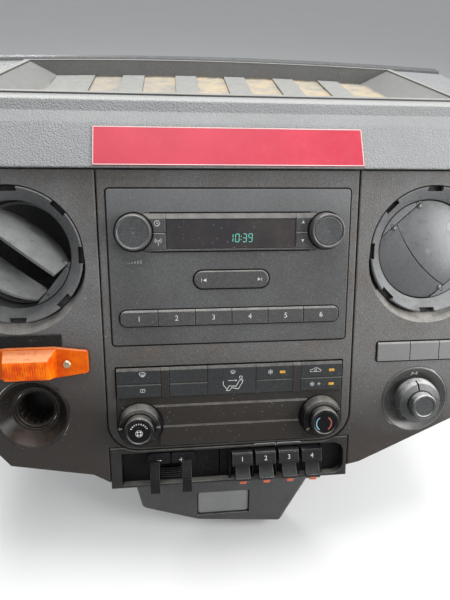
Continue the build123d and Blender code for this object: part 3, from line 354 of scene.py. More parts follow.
FINISHES = {
    # Its strong top dust also paints the light that dishes and ledges facing up catch
    "face_plastic": moulded(
        "face_plastic", (0.104, 0.104, 0.105), (0.080, 0.079, 0.078), rough=0.60, grain=1500.0,
        bump=0.40, pebble=900.0, dust=0.85, edge_wear_and_highlight=0.45, low_dirt=0.22, edge=1.0,
        foot_shade=0.94, film=0.20, stain=0.30),
    "pad_skin": pad_finish(),
    "tray_plastic": tray_finish(),
    "rail_black": moulded(
        "rail_black", (0.050, 0.052, 0.055), (0.042, 0.044, 0.046), rough=0.5,
        top_dust_and_light_colour=(0.26, 0.26, 0.25), edge_wear_and_highlight=0.4, edge=1.2),
    "plate_red": moulded(
        "plate_red", (0.50, 0.032, 0.062), (0.44, 0.024, 0.050), rough=0.40, cloud=20.0,
        grain=2200.0, bump=0.06, dust=0.06, top_dust_and_light_colour=(0.95, 0.55, 0.55), specks=0.12,
        edge_wear_and_highlight=0.9, edge_wear_and_highlight_colour=(0.85, 0.62, 0.60), edge=0.5, film=0.0, gloss=0.3),
    "radio_plastic": moulded(
        "radio_plastic", (0.066, 0.067, 0.067), (0.052, 0.053, 0.053), rough=0.46,
        grain=2200.0, bump=0.14, edge_wear_and_highlight=0.6, film=0.14, top_paling=0.20, stain=0.25),
    "display_gloss": moulded(
        "display_strip", (0.050, 0.050, 0.052), (0.042, 0.042, 0.044), rough=0.34,
        grain=2500.0, bump=0.05, dust=0.5, specks=0.2, edge_wear_and_highlight=0.7, edge=0.7),
    "key_plastic": moulded(
        "key_plastic", (0.024, 0.025, 0.026), (0.018, 0.019, 0.020), rough=0.42, grain=2000.0,
        bump=0.10, edge_wear_and_highlight=0.6, edge_wear_and_highlight_colour=(0.36, 0.33, 0.29), edge=0.7, film=0.05, gloss=0.32),
    "knob_plastic": moulded(
        "knob_plastic", (0.008, 0.008, 0.009), (0.006, 0.006, 0.007), rough=0.38,
        grain=1600.0, bump=0.12, dust=0.45, specks=0.25, edge_wear_and_highlight=1.0,
        edge_wear_and_highlight_colour=(0.50, 0.49, 0.47), edge=1.2, film=0.0, gloss=0.12),
    "vent_plastic": moulded(
        "vent_plastic", (0.101, 0.103, 0.106), (0.082, 0.084, 0.088), rough=0.30,
        grain=1800.0, bump=0.14, dust=0.42, top_dust_and_light_colour=(0.40, 0.40, 0.39), specks=0.15,
        edge_wear_and_highlight=0.7, edge=0.5, flat=0.36),
    "climate_plastic": moulded(
        "climate_plastic", (0.026, 0.024, 0.022), (0.019, 0.017, 0.015), rough=0.46,
        grain=1800.0, bump=0.14, dust=0.5, specks=0.45, edge_wear_and_highlight=0.9,
        edge_wear_and_highlight_colour=(0.44, 0.41, 0.37), edge=0.9, foot_shade=0.7, film=0.06, gloss=0.32),
    "switch_black": moulded(
        "switch_black", (0.009, 0.009, 0.010), (0.006, 0.006, 0.007), rough=0.46,
        grain=1800.0, bump=0.10, dust=0.0, specks=0.2, edge_wear_and_highlight=0.7,
        edge_wear_and_highlight_colour=(0.26, 0.27, 0.28), edge=0.6, film=0.02, gloss=0.10),
    "tip_orange": moulded(
        "tip_orange", (0.58, 0.10, 0.018), (0.46, 0.065, 0.012), rough=0.45, dust=0.1,
        specks=0.2, edge_wear_and_highlight_colour=(0.9, 0.4, 0.2), edge=0.4),
    "lens_amber": amber_lens("amber_lens", 0.5),
    "label_black": moulded(
        "label_black", (0.008, 0.007, 0.007), (0.005, 0.005, 0.005), rough=0.42, dust=0.0,
        specks=0.12, edge_wear_and_highlight=0.8, edge=0.4, film=0.03, gloss=0.3),
    # Its brownish tint and brown top dust also paint the brownish reflection low in the bowl
    "bowl_black": moulded(
        "bowl_black", (0.013, 0.010, 0.008), (0.009, 0.007, 0.006), rough=0.24, grain=1800.0,
        bump=0.10, dust=0.35, top_dust_and_light_colour=(0.15, 0.11, 0.09), specks=0.25, edge_wear_and_highlight=0.7,
        edge_wear_and_highlight_colour=(0.40, 0.37, 0.33), edge=1.0, film=0.02, gloss=0.22),
    "duct_grey": moulded(
        "duct_grey", (0.040, 0.041, 0.040), (0.016, 0.016, 0.015), rough=0.46, grain=1500.0,
        bump=0.16, dust=0.60, top_dust_and_light_colour=(0.36, 0.37, 0.36), specks=0.25, edge_wear_and_highlight=0.8,
        edge_wear_and_highlight_colour=(0.42, 0.43, 0.42), edge=1.2, film=0.08),
    "housing_black": moulded(
        "housing_black", (0.030, 0.031, 0.032), (0.024, 0.024, 0.025), grain=1300.0,
        specks=0.2, edge_wear_and_highlight=0.35, edge_wear_and_highlight_colour=(0.2, 0.2, 0.2), edge=0.9),
    "case_steel": plated("case_steel", (0.56, 0.57, 0.58), (0.43, 0.43, 0.42), rough=0.35),
    "bracket_steel": moulded(
        "bracket_steel", (0.022, 0.022, 0.024), (0.018, 0.018, 0.019), rough=0.38,
        grain=700.0, bump=0.18, dust=0.2, specks=0.2, edge_wear_and_highlight=0.8,
        edge_wear_and_highlight_colour=(0.34, 0.33, 0.32), edge=0.6),
}
# Pieces that differ in tone from the others of their slot
NODE_FINISHES = {
    ("left_vent_main_blade", "left_vent_minor_blade", "right_vent_main_blade",
     "right_vent_minor_blade"): moulded(
        "vent_blades", (0.101, 0.103, 0.106), (0.076, 0.078, 0.082), rough=0.28, grain=1800.0,
        bump=0.14, dust=0.38, top_dust_and_light_colour=(0.38, 0.38, 0.37), specks=0.15, edge_wear_and_highlight=0.35, edge=0.4,
        flat=0.36),
    ("volume_knob", "tune_knob"): moulded(
        "radio_knobs", (0.050, 0.051, 0.053), (0.038, 0.039, 0.041), rough=0.34, grain=1600.0,
        bump=0.12, dust=0.4, specks=0.25, edge_wear_and_highlight=1.0, edge_wear_and_highlight_colour=(0.60, 0.60, 0.59), edge=1.2),
    ("radio_keys", "preset_buttons", "seek_rocker"): moulded(
        "radio_keys", (0.050, 0.050, 0.050), (0.038, 0.038, 0.038), rough=0.36, grain=2000.0,
        bump=0.10, dust=0.5, specks=0.25, edge_wear_and_highlight=1.0, edge_wear_and_highlight_colour=(0.60, 0.59, 0.57), edge=1.0,
        seam_shade=1.0),
    ("key_row",): moulded(
        "side_keys", (0.150, 0.150, 0.147), (0.128, 0.128, 0.125), rough=0.45, grain=1700.0,
        dust=0.5, specks=0.25, edge_wear_and_highlight=0.9, edge_wear_and_highlight_colour=(0.50, 0.49, 0.47), edge=0.9),
    # Its pale top dust, laid at full strength, also paints a sheen on the skirt's upper side
    ("drive_knob",): moulded(
        "drive_knob", (0.048, 0.049, 0.050), (0.038, 0.039, 0.040), rough=0.22, grain=1600.0,
        bump=0.12, dust=1.0, top_dust_and_light_colour=(0.62, 0.62, 0.61), specks=0.25, edge_wear_and_highlight=1.0,
        edge_wear_and_highlight_colour=(0.62, 0.62, 0.61), edge=1.2, film=0.06, flat=0.46),
    ("drive_bowl",): moulded(
        "drive_bowl", (0.050, 0.049, 0.047), (0.036, 0.035, 0.033), rough=0.30, grain=1800.0,
        bump=0.10, dust=0.4, specks=0.25, edge_wear_and_highlight=0.7, edge_wear_and_highlight_colour=(0.42, 0.40, 0.37), edge=1.0),
    ("centre_panel",): moulded(
        "centre_face", (0.090, 0.089, 0.089), (0.066, 0.064, 0.062), rough=0.60, grain=1500.0,
        bump=0.40, pebble=900.0, dust=0.6, specks=0.4, edge_wear_and_highlight=0.55, low_dirt=0.25, edge=1.0,
        foot_shade=0.8, film=0.17, stain=0.20),
    ("switch_panel",): moulded(
        "strip_face", (0.015, 0.014, 0.013), (0.010, 0.009, 0.008), rough=0.50, grain=1500.0,
        bump=0.3, pebble=900.0, dust=0.4, edge_wear_and_highlight=0.7, edge=1.2, film=0.05, gloss=0.3),
    ("aux_switches",): moulded(
        "flip_switches", (0.015, 0.015, 0.016), (0.011, 0.011, 0.012), rough=0.34,
        grain=1800.0, bump=0.10, dust=0.1, top_dust_and_light_colour=(0.20, 0.20, 0.20), specks=0.2,
        edge_wear_and_highlight=1.0, edge_wear_and_highlight_colour=(0.40, 0.41, 0.42), edge=0.9, film=0.02, gloss=0.15, flat=0.40),
}
WHITE_INK = printed("white_ink", (0.62, 0.63, 0.62))
DULL_INK = printed("dull_ink", (0.30, 0.31, 0.31))
BLUE_INK = printed("blue_ink", (0.17, 0.36, 0.46))
RED_INK = printed("red_ink", (0.36, 0.07, 0.06))
TEAL_LIGHT = printed("teal_light", (0.12, 0.50, 0.40), glow=0.42)
AMBER_LIGHT = printed("amber_light", (0.55, 0.30, 0.03), glow=0.10)
RIB_AMBER = amber_lens("amber_ribs", 0.0)
ZINC = plated("zinc_screws", (0.66, 0.67, 0.66), (0.42, 0.40, 0.36))
WARM_ZINC = plated("lamp_screw_zinc", (0.62, 0.52, 0.36), (0.34, 0.24, 0.13))
COVER_GREY = moulded(
    "cover_grey", (0.19, 0.195, 0.19), (0.15, 0.155, 0.15), rough=0.4, dust=0.4, specks=0.2,
    edge_wear_and_highlight=0.7, edge_wear_and_highlight_colour=(0.45, 0.45, 0.43), edge=0.7)
SHADOW_BLACK = moulded(
    "shadow_black", (0.012, 0.012, 0.012), (0.008, 0.008, 0.008), rough=0.8, dust=0.0,
    specks=0.15, edge_wear_and_highlight=0.0, edge=0.2, film=0.0, gloss=0.08)
# Painted shadow: the colour of the dark blocks in the vent rings' notches
NOTCH_SHADOW_BLACK = moulded(
    "notch_shadow_black", (0.034, 0.034, 0.036), (0.024, 0.024, 0.026), rough=0.6, dust=0.0,
    specks=0.2, edge_wear_and_highlight=0.0, edge=0.2, film=0.06, gloss=0.2, seam_shade=0.3)
PLATE_WHITE = moulded(
    "plate_white", (0.80, 0.62, 0.60), (0.72, 0.50, 0.48), rough=0.4, dust=0.1, specks=0.1,
    edge_wear_and_highlight=0.0)


def dress_cad_nodes():
    """Gives each node of the frame its own finish, or else the finish of its slot."""
    slots = {part["node"]: part["material_slot"] for part in frame["record"]["subparts"]}
    own = {name: finish for names, finish in NODE_FINISHES.items() for name in names}
    for name, node in frame["nodes"].items():
        if not node.material_slots:
            node.data.materials.append(None)
        for slot in node.material_slots:
            slot.material = own.get(name, FINISHES[slots[name]]).material


# Making pieces


def placed(name, data):
    """A new object in the scene."""
    made = bpy.data.objects.new(name, data)
    bpy.context.scene.collection.objects.link(made)
    return made


def finish_piece(name, mesh, finish, body="root", sharp=32.0):
    """Links a mesh as a piece of the object, shades it and lets it ride on its body."""
    mesh.materials.clear()
    mesh.materials.append(finish.material)
    for face in mesh.polygons:
        face.use_smooth = True
        face.material_index = 0
    mesh.set_sharp_from_angle(angle=radians(sharp))
    piece = placed(name, mesh)
    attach(piece, body)


def piece_from(name, shape, finish, plane=FACE):
    """Turns a shape drawn on a plane, in millimetres, into a piece in its place."""
    bmesh.ops.transform(shape, matrix=plane, verts=shape.verts)
    bmesh.ops.recalc_face_normals(shape, faces=shape.faces)
    mesh = bpy.data.meshes.new(name)
    shape.to_mesh(mesh)
    shape.free()
    finish_piece(name, mesh, finish)


def solid_through(shape, rings):
    """Closes rings of points, all with the same count, into a solid with flat ends."""
    rings = [[shape.verts.new(point) for point in ring] for ring in rings]
    for under, over in zip(rings, rings[1:]):
        for i in range(len(under)):
            j = (i + 1) % len(under)
            shape.faces.new((under[i], under[j], over[j], over[i]))
    shape.faces.new(rings[-1])
    shape.faces.new(reversed(rings[0]))


def rounded_box(u0, u1, v0, v1, radius, steps=5):
    """The outline of a box with rounded corners."""
    right, left, top, foot = u1 - radius, u0 + radius, v1 - radius, v0 + radius
    points = []
    for turn, (u, v) in enumerate(((right, top), (left, top), (left, foot), (right, foot))):
        for step in range(steps + 1):
            angle = pi / 2 * (turn + step / steps)
            points.append((u + radius * cos(angle), v + radius * sin(angle)))
    return points


def tablet(shape, edges, radius, low, high, chamfer):
    """A flat rounded pad with a chamfered upper edge."""
    u0, u1, v0, v1 = edges
    foot = rounded_box(u0, u1, v0, v1, radius)
    crown = rounded_box(
        u0 + chamfer, u1 - chamfer, v0 + chamfer, v1 - chamfer, max(radius - chamfer, 0.1))
    solid_through(shape, [
        [(u, v, n) for u, v in ring]
        for ring, n in ((foot, low), (foot, high - chamfer), (crown, high))
    ])


def patch(shape, points, n, lift=INK_LIFT):
    """A printed filled outline."""
    heights = (n - INK_ROOT, n + lift)
    solid_through(shape, [[(u, v, height) for u, v in points] for height in heights])


def stroke(shape, points, width, n, closed=False, lift=INK_LIFT):
    """A printed line of even width along points, as a thin closed ribbon."""
    path = [Vector(point) for point in points]
    count = len(path)
    left, right = [], []
    for i, point in enumerate(path):
        before = path[i - 1] if closed or i else None
        after = path[(i + 1) % count] if closed or i < count - 1 else None
        first = (after - point if before is None else point - before).normalized()
        second = first if after is None else (after - point).normalized()
        along = (first + second).normalized()
        across = Vector((-along.y, along.x))
        reach = width / 2 / max(0.45, along.dot(first))
        left.append(point + across * reach)
        right.append(point - across * reach)
    sides = ((left, n + lift), (right, n + lift), (right, n - INK_ROOT), (left, n - INK_ROOT))
    rows = [[shape.verts.new((p.x, p.y, height)) for p in side] for side, height in sides]
    for i in range(count if closed else count - 1):
        j = (i + 1) % count
        for one, other in zip(rows, rows[1:] + rows[:1]):
            shape.faces.new((one[i], one[j], other[j], other[i]))
    if not closed:
        shape.faces.new([row[0] for row in rows])
        shape.faces.new([row[-1] for row in reversed(rows)])


def ray(u, v, reach, turn):
    """The point that lies a distance away, along an angle in degrees."""
    return (u + reach * cos(radians(turn)), v + reach * sin(radians(turn)))


def arc(u, v, radius, start, end, steps):
    """Points along an arc, its angles in degrees."""
    turns = [start + (end - start) * step / steps for step in range(steps + 1)]
    return [ray(u, v, radius, turn) for turn in turns]


def triangle(u, v, size, turn):
    """The corners of an arrow head that points along an angle in degrees."""
    return [ray(u, v, size, turn + side) for side in (0, 125, 235)]


def plus_mark(shape, u, v, reach, width, n):
    stroke(shape, [(u - reach, v), (u + reach, v)], width, n)
    stroke(shape, [(u, v - reach), (u, v + reach)], width, n)


def lettered(shape, text, u, v, n, size, tilt=0.0):
    """Adds a plain numeral, printed at a place on the face and tilted about the u axis."""
    curve = bpy.data.curves.new("numeral", "FONT")
    curve.body, curve.size, curve.extrude = text, size, 0.08
    curve.align_x = curve.align_y = "CENTER"
    curve.resolution_u = 3
    holder = placed("numeral", curve)
    depsgraph = bpy.context.evaluated_depsgraph_get()
    mesh = bpy.data.meshes.new_from_object(holder.evaluated_get(depsgraph))
    mesh.transform(Matrix.Translation((u, v, n)) @ Matrix.Rotation(radians(tilt), 4, "X"))
    shape.from_mesh(mesh)
    bpy.data.objects.remove(holder)
    bpy.data.curves.remove(curve)
    bpy.data.meshes.remove(mesh)


# Geometry node trees


class RepeatTree(NodeTree):
    """A geometry node tree with named inputs, which is run once on a starting mesh."""

    def __init__(self, name, sizes, **others):
        self.tree = bpy.data.node_groups.new(name, "GeometryNodeTree")
        for way in ("INPUT", "OUTPUT"):
            self.tree.interface.new_socket(
                "Geometry", in_out=way, socket_type="NodeSocketGeometry")
        self.sockets = {}
        for key, kind in {**dict.fromkeys(sizes, "Float"), **others, "Finish": "Material"}.items():
            socket = self.tree.interface.new_socket(
                key, in_out="INPUT", socket_type="NodeSocket" + kind)
            self.sockets[key] = socket.identifier
        self.start = self.tree.nodes.new("NodeGroupInput")

    def fill(self, socket, value):
        """Fills a socket, where a name stands for the tree's own input."""
        super().fill(socket, self.start.outputs[value] if isinstance(value, str) else value)

    def make(self, kind, **inputs):
        """The first output of a geometry node."""
        inputs = {key.replace("_", " "): value for key, value in inputs.items()}
        return self.add("GeometryNode" + kind, inputs).outputs[0]

    def vector(self, **parts):
        return self.add("ShaderNodeCombineXYZ", parts).outputs[0]

    def close(self, geometry):
        """Ends the tree: instances made real, then the finish set."""
        real = self.make("RealizeInstances", Geometry=geometry)
        dressed = self.make("SetMaterial", Geometry=real, Material="Finish")
        self.fill(self.tree.nodes.new("NodeGroupOutput").inputs[0], dressed)
        return self

    def close_on_points(self, shape):
        """Ends the tree with a copy of the shape on each starting point, all facing one way."""
        aim = self.add("FunctionNodeAlignRotationToVector", {"Vector": "Facing"}, axis="Z")
        return self.close(self.make(
            "InstanceOnPoints", Points="Geometry", Instance=shape, Rotation=aim.outputs[0]))

    def run(self, name, values, start):
        """Runs the tree with these values on an object of loose points: the plain mesh."""
        seed = bpy.data.meshes.new(name + "_points")
        seed.from_pydata([tuple(point) for point in start], [], [])
        holder = placed(name + "_points", seed)
        modifier = holder.modifiers.new("repeat", "NODES")
        modifier.node_group = self.tree
        for key, value in values.items():
            modifier[self.sockets[key]] = value
        holder.update_tag()
        depsgraph = bpy.context.evaluated_depsgraph_get()
        mesh = bpy.data.meshes.new_from_object(holder.evaluated_get(depsgraph))
        holder.modifiers.remove(modifier)
        bpy.data.objects.remove(holder)
        mesh.name = name
        return mesh

    def piece(self, name, values, finish, slot, plane=None, start=(), sharp=32.0):
        """Runs the tree and makes a piece of its mesh, drawn on a plane or already in place."""
        mesh = self.run(name, {**values, "Finish": finish.material}, start)
        if plane is not None:
            mesh.transform(plane)
        finish_piece(name, mesh, finish, sharp=sharp)


def block_ring_tree():
    """Blocks at even steps along an arc, each turned to face the centre."""
    sizes = ("Radius", "First angle", "Step", "Length", "Width", "Height")
    ring = RepeatTree("blocks_along_an_arc", sizes, Count="Int")
    index = ring.make("InputIndex")
    angle = ring.math("ADD", ring.times(index, "Step"), "First angle")
    place = ring.vector(
        X=ring.times(ring.math("COSINE", angle), "Radius"),
        Y=ring.times(ring.math("SINE", angle), "Radius"))
    line = ring.make("MeshLine", Count="Count")
    points = ring.make("SetPosition", Geometry=line, Position=place)
    block = ring.make("MeshCube", Size=ring.vector(X="Length", Y="Width", Z="Height"))
    return ring.close(ring.make(
        "InstanceOnPoints", Points=points, Instance=block, Rotation=ring.vector(Z=angle)))


def rib_row_tree():
    """Round ribs side by side in a straight row."""
    row = RepeatTree("ribs_in_a_row", ("Pitch", "Length", "Radius"), Count="Int")
    line = row.make("MeshLine", Count="Count", Offset=row.vector(X="Pitch"))
    bar = row.make("MeshCylinder", Vertices=8, Radius="Radius", Depth="Length")
    laid = row.make("Transform", Geometry=bar, Rotation=(pi / 2, 0, 0))
    return row.close(row.make("InstanceOnPoints", Points=line, Instance=laid))


def screw_head_tree():
    """Pan screw heads with a cross recess, one on each point."""
    sizes = ("Head radius", "Head height", "Recess")
    screw = RepeatTree("screw_heads", sizes, Facing="Vector")
    half = screw.times("Head height", 0.5)
    skirt = screw.make("MeshCylinder", Vertices=20, Radius="Head radius", Depth=half)
    crown = screw.make(
        "MeshCone", Vertices=20, Radius_Top=screw.times("Head radius", 0.72),
        Radius_Bottom="Head radius", Depth=half)
    low = screw.vector(Z=screw.times("Head height", 0.25))
    base = screw.make("Transform", Geometry=skirt, Translation=low)
    cap = screw.make("Transform", Geometry=crown, Translation=screw.vector(Z=half))
    whole = screw.add("GeometryNodeMeshBoolean", {1: base}, operation="UNION")
    screw.fill(whole.inputs[1], cap)
    cross = screw.add("GeometryNodeMeshBoolean", {0: whole.outputs[0]}, operation="DIFFERENCE")
    thin = screw.times("Recess", 0.28)
    for length, width in (("Recess", thin), (thin, "Recess")):
        slit = screw.make("MeshCube", Size=screw.vector(X=length, Y=width, Z="Head height"))
        top = screw.vector(Z="Head height")
        screw.fill(cross.inputs[1], screw.make("Transform", Geometry=slit, Translation=top))
    return screw.close_on_points(cross.outputs[0])


def bolt_head_tree():
    """Hexagon bolt heads with a round flange, one on each point."""
    sizes = ("Across corners", "Head height", "Flange radius", "Flange height")
    bolt = RepeatTree("bolt_heads", sizes, Facing="Vector")
    corner = bolt.times("Across corners", 0.5)
    hexagon = bolt.make("MeshCylinder", Vertices=6, Radius=corner, Depth="Head height")
    raised = bolt.vector(Z=bolt.times("Head height", 0.5))
    head = bolt.make("Transform", Geometry=hexagon, Translation=raised)
    flange = bolt.make(
        "MeshCone", Vertices=28, Radius_Top=corner, Radius_Bottom="Flange radius",
        Depth="Flange height")
    both = bolt.add("GeometryNodeJoinGeometry")
    for part in (head, flange):
        bolt.fill(both.inputs[0], part)
    return bolt.close_on_points(both.outputs[0])


# Radio


def clock_window():
    glass = bmesh.new()
    tablet(glass, WINDOW, 0.8, 1.95, WINDOW_N, 0.25)
    piece_from("clock_window", glass, window_glass())


def dark_lines(name, n, loops, bars=()):
    """Painted shadow lines: loops round raised parts, and straight bars along the strip."""
    lines = bmesh.new()
    for edges, radius, steps, width in loops:
        outline = rounded_box(*edges, radius, steps)
        stroke(lines, outline, width, n, closed=True, lift=LINE_LIFT)
    for v, width in bars:
        stroke(lines, [(-78.0, v), (78.0, v)], width, n, lift=LINE_LIFT)
    piece_from(name, lines, SHADOW_BLACK)


def radio_shadow_lines():
    """Dark lines round the radio, its strip, rocker and presets, and round the key row."""
    radio = ((-118.2, 118.2, -75.9, 75.9), 3.6, 5, 1.5)
    rocker = ((-37.7, 37.7, -20.6, -1.8), 9.3, 10, 1.3)
    presets = ((-109.9, 109.9, -56.7, -39.7), 7.1, 6, 1.2)
    side_keys = ((152.8, 255.8, -102.0, -80.4), 2.4, 5, 1.5)
    strip_bars = ((16.4, 1.5), (53.4, 1.0))
    dark_lines("radio_surround_shadow", 0.0, [radio])
    dark_lines("radio_key_shadows", FACE_N, [rocker, presets], strip_bars)
    dark_lines("key_row_shadow", 0.0, [side_keys])


SEGMENTS = {"0": "abcdef", "1": "bc", "3": "abgcd", "9": "abcdfg"}
TIME_DIGITS = ((-2.6, "1"), (3.4, "0"), (10.6, "3"), (16.2, "9"))
DIGIT_LIFT = 0.05


def clock_digits():
    """The lit seven-segment time."""
    digits = bmesh.new()
    width, height, base, gap, lean = 3.5, 7.6, 25.2, 0.35, 0.05
    half = height / 2

    def corner(left, x, y):
        return (left + x + lean * y, base + y)

    ends = {
        "a": ((gap, height), (width - gap, height)),
        "b": ((width, half + gap), (width, height - gap)),
        "c": ((width, gap), (width, half - gap)),
        "d": ((gap, 0), (width - gap, 0)),
        "e": ((0, gap), (0, half - gap)),
        "f": ((0, half + gap), (0, height - gap)),
        "g": ((gap, half), (width - gap, half)),
    }
    for left, digit in TIME_DIGITS:
        for segment in SEGMENTS[digit]:
            points = [corner(left, *end) for end in ends[segment]]
            stroke(digits, points, 0.62, DIGIT_N, lift=DIGIT_LIFT)
    for y in (2.2, 5.4):
        middle = Vector(corner(8.9, 0, y))
        square = [middle + Vector(side) * 0.38 for side in ((-1, -1), (1, -1), (1, 1), (-1, 1))]
        patch(digits, square, DIGIT_N, DIGIT_LIFT)
    piece_from("clock_digits", digits, TEAL_LIGHT)


def radio_marks():
    """Arrows, a clock and a wave on the keys, numbers on the presets, steps below a knob."""
    marks = bmesh.new()
    for u, v, size, turn, n in (
        (70.1, 43.6, 1.9, 90, STRIP_N), (70.0, 26.0, 1.9, -90, STRIP_N),
        (-26.2, -11.6, 2.0, 180, SEEK_N), (26.7, -11.5, 2.0, 0, SEEK_N),
    ):
        patch(marks, triangle(u, v, size, turn), n)
    for u in (-29.6, 29.6):
        stroke(marks, [(u, -13.2), (u, -9.8)], 0.5, SEEK_N)
    stroke(marks, arc(-71.0, 43.4, 2.5, 0, 345, 20), 0.5, STRIP_N, closed=True)
    stroke(marks, [(-71.0, 45.2), (-71.0, 43.4), (-69.6, 42.6)], 0.5, STRIP_N)
    stroke(marks, [(-70.4, 22.2), (-70.4, 26.2)], 0.5, STRIP_N)
    for side in (0, 180):
        for radius in (1.6, 3.0):
            stroke(marks, arc(-70.4, 27.0, radius, side - 42, side + 42, 8), 0.45, STRIP_N)
    patch(marks, arc(-70.4, 27.0, 0.5, 0, 330, 11), STRIP_N)
    for step in range(6):
        u = PRESET_U + PRESET_PITCH * step
        lettered(marks, str(step + 1), u, PRESET_V, PRESET_N, 7.4)
    piece_from("radio_marks", marks, WHITE_INK)
    steps = bmesh.new()
    for step in range(6):
        u, foot, top = -101.6 + 2.7 * step, 5.4, 5.9 + 0.55 * step
        patch(steps, [(u, foot), (u + 1.5, foot), (u + 1.5, top), (u, top)], FACE_N)
    piece_from("volume_steps", steps, DULL_INK)


# Climate panel


def windscreen_mark(shape, u, v, size, n):
    """The demist sign: a curved windscreen with rising wavy arrows."""
    line = size * 0.17
    stroke(shape, arc(u, v - size * 0.9, size * 1.75, 132, 48, 10), line, n)
    stroke(shape, [
        (u - size * 1.15, v + size * 0.40), (u - size * 0.62, v - size * 0.5),
        (u + size * 0.62, v - size * 0.5), (u + size * 1.15, v + size * 0.40)], line, n)
    for step in (-1, 0, 1):
        x = u + step * size * 0.42
        stroke(shape, [
            (x, v - size * 0.9), (x - size * 0.12, v - size * 0.45), (x + size * 0.12, v),
            (x, v + size * 0.35)], size * 0.14, n)


def rear_window_mark(shape, u, v, size, n):
    half, line = size * 0.72, size * 0.2
    window = rounded_box(u - size, u + size, v - half, v + half, size * 0.4, 3)
    stroke(shape, window, line, n, closed=True)
    stroke(shape, [(u, v - size * 0.45), (u, v + size * 1.05)], line, n)


def snow_mark(shape, u, v, size, n):
    """The cooling sign: a six-armed flake."""
    for turn in (30, 90, 150):
        stroke(shape, [ray(u, v, size, turn + 180), ray(u, v, size, turn)], 0.42, n)
        for end in (turn + 180, turn):
            tip = ray(u, v, size * 0.62, end)
            for side in (-40, 40):
                stroke(shape, [tip, ray(*tip, size * 0.34, end + side)], 0.34, n)


def seated_figure_mark(shape, u, v, n):
    """The airflow sign: a seated figure with an arrow to its face and one to its feet."""
    body = ((10.6, 3.4), (7.4, 3.4), (3.6, -3.2), (-3.4, -2.4), (-6.4, -7.4), (-3.0, -7.4),
            (-0.8, -4.6), (6.0, -6.0), (10.4, 1.2))
    stroke(shape, arc(u + 8.6, v + 6.2, 1.5, 0, 340, 14), 0.55, n, closed=True)
    stroke(shape, [(u + x, v + y) for x, y in body], 0.6, n, closed=True)
    stroke(shape, [(u - 4.6, v + 3.2), (u + 2.6, v + 3.2)], 0.55, n)
    patch(shape, triangle(u + 3.6, v + 3.2, 1.3, 0), n)
    stroke(shape, [(u - 9.4, v + 2.6), (u - 9.6, v - 1.2), (u - 6.4, v - 5.0)], 0.55, n)
    patch(shape, triangle(u - 5.6, v - 5.8, 1.2, -45), n)


def recirculation_mark(shape, u, v, n):
    """The recirculation sign: a car's outline with a turning arrow inside."""
    car = ((-5.6, -1.6), (-5.4, 0.4), (-3.2, 0.7), (-1.4, 2.3), (2.2, 2.3), (4.0, 0.7),
           (5.6, 0.3), (5.6, -1.6))
    stroke(shape, [(u + x, v + y) for x, y in car], 0.42, n, closed=True)
    stroke(shape, arc(u + 0.3, v + 0.2, 1.0, -60, 210, 10), 0.36, n)
    patch(shape, triangle(u - 0.6, v - 0.6, 0.8, -90), n)


def climate_marks():
    """Signs on the climate keys, and the three small lights."""
    marks = bmesh.new()
    n = CLIMATE_KEY_N
    windscreen_mark(marks, -89.9, -105.6, 2.9, n)
    rear_window_mark(marks, -90.2, -122.6, 2.2, n)
    windscreen_mark(marks, 1.0, -106.6, 2.2, n)
    seated_figure_mark(marks, 0.6, -118.6, n)
    snow_mark(marks, 40.0, -107.9, 2.6, n)
    recirculation_mark(marks, 87.3, -107.8, n)
    snow_mark(marks, 84.2, -123.0, 2.4, n)
    plus_mark(marks, 91.4, -123.0, 1.8, 0.5, n)
    piece_from("climate_marks", marks, WHITE_INK)
    lights = bmesh.new()
    for u, v in ((52.5, -108.4), (104.5, -108.3), (104.5, -123.4)):
        edges = (u - 2.9, u + 2.9, v - 1.4, v + 1.4)
        tablet(lights, edges, 0.5, n - 0.3, n + 0.25, 0.2)
    piece_from("key_lights", lights, AMBER_LIGHT)


def dial_marks(ring):
    """A fan and an arc of dots on the left dial, a blue and a red arc on the right one."""
    fan = bmesh.new()
    hub_v = DIAL_V - 1.6
    for turn in (45, 135, 225, 315):
        root = ray(-DIAL_U, hub_v, 1.7, turn)
        patch(fan, arc(*root, 1.15, turn - 110, turn + 110, 8), DIAL_FACE_N)
    stroke(fan, arc(-DIAL_U, hub_v, 3.4, 0, 340, 18), 0.4, DIAL_FACE_N, closed=True)
    piece_from("fan_sign", fan, WHITE_INK)
    dots = {"Count": 9, "Radius": 8.4, "First angle": radians(26), "Step": radians(16),
            "Length": 1.5, "Width": 0.9, "Height": 0.3}
    place = FACE @ Matrix.Translation((-DIAL_U, DIAL_V, DIAL_FACE_N))
    ring.piece("fan_steps", dots, WHITE_INK, "knob_plastic", place)
    for name, start, end, ink in (("cold_arc", 125, 235, BLUE_INK), ("warm_arc", 55, -55, RED_INK)):
        band = bmesh.new()
        points = arc(DIAL_U - 1.2, DIAL_V - 1.0, 7.8, start, end, 14)
        stroke(band, points, 1.2, DIAL_FACE_N)
        piece_from(name, band, ink)


# Switch strip


def switch_marks():
    """Numbers on the flip switches, signs on the brake rocker and brackets over the switches."""
    marks = bmesh.new()
    for step, u in enumerate(FLIP_SWITCH_U):
        lettered(marks, str(step + 1), u, -201.9, FLIP_SWITCH_N, 7.0, tilt=-13.0)
    stroke(marks, [(-78.2, -200.0), (-73.8, -200.0)], 0.8, ROCKER_N)
    plus_mark(marks, -53.2, -200.2, 2.2, 0.8, ROCKER_N)
    foot, top = -189.6, -187.9
    for left, right in ((24.5, 46.5), (49.0, 73.5)):
        stroke(marks, [(left, foot), (left, top), (right, top), (right, foot)], 0.4, 0.0)
    piece_from("switch_marks", marks, WHITE_INK)


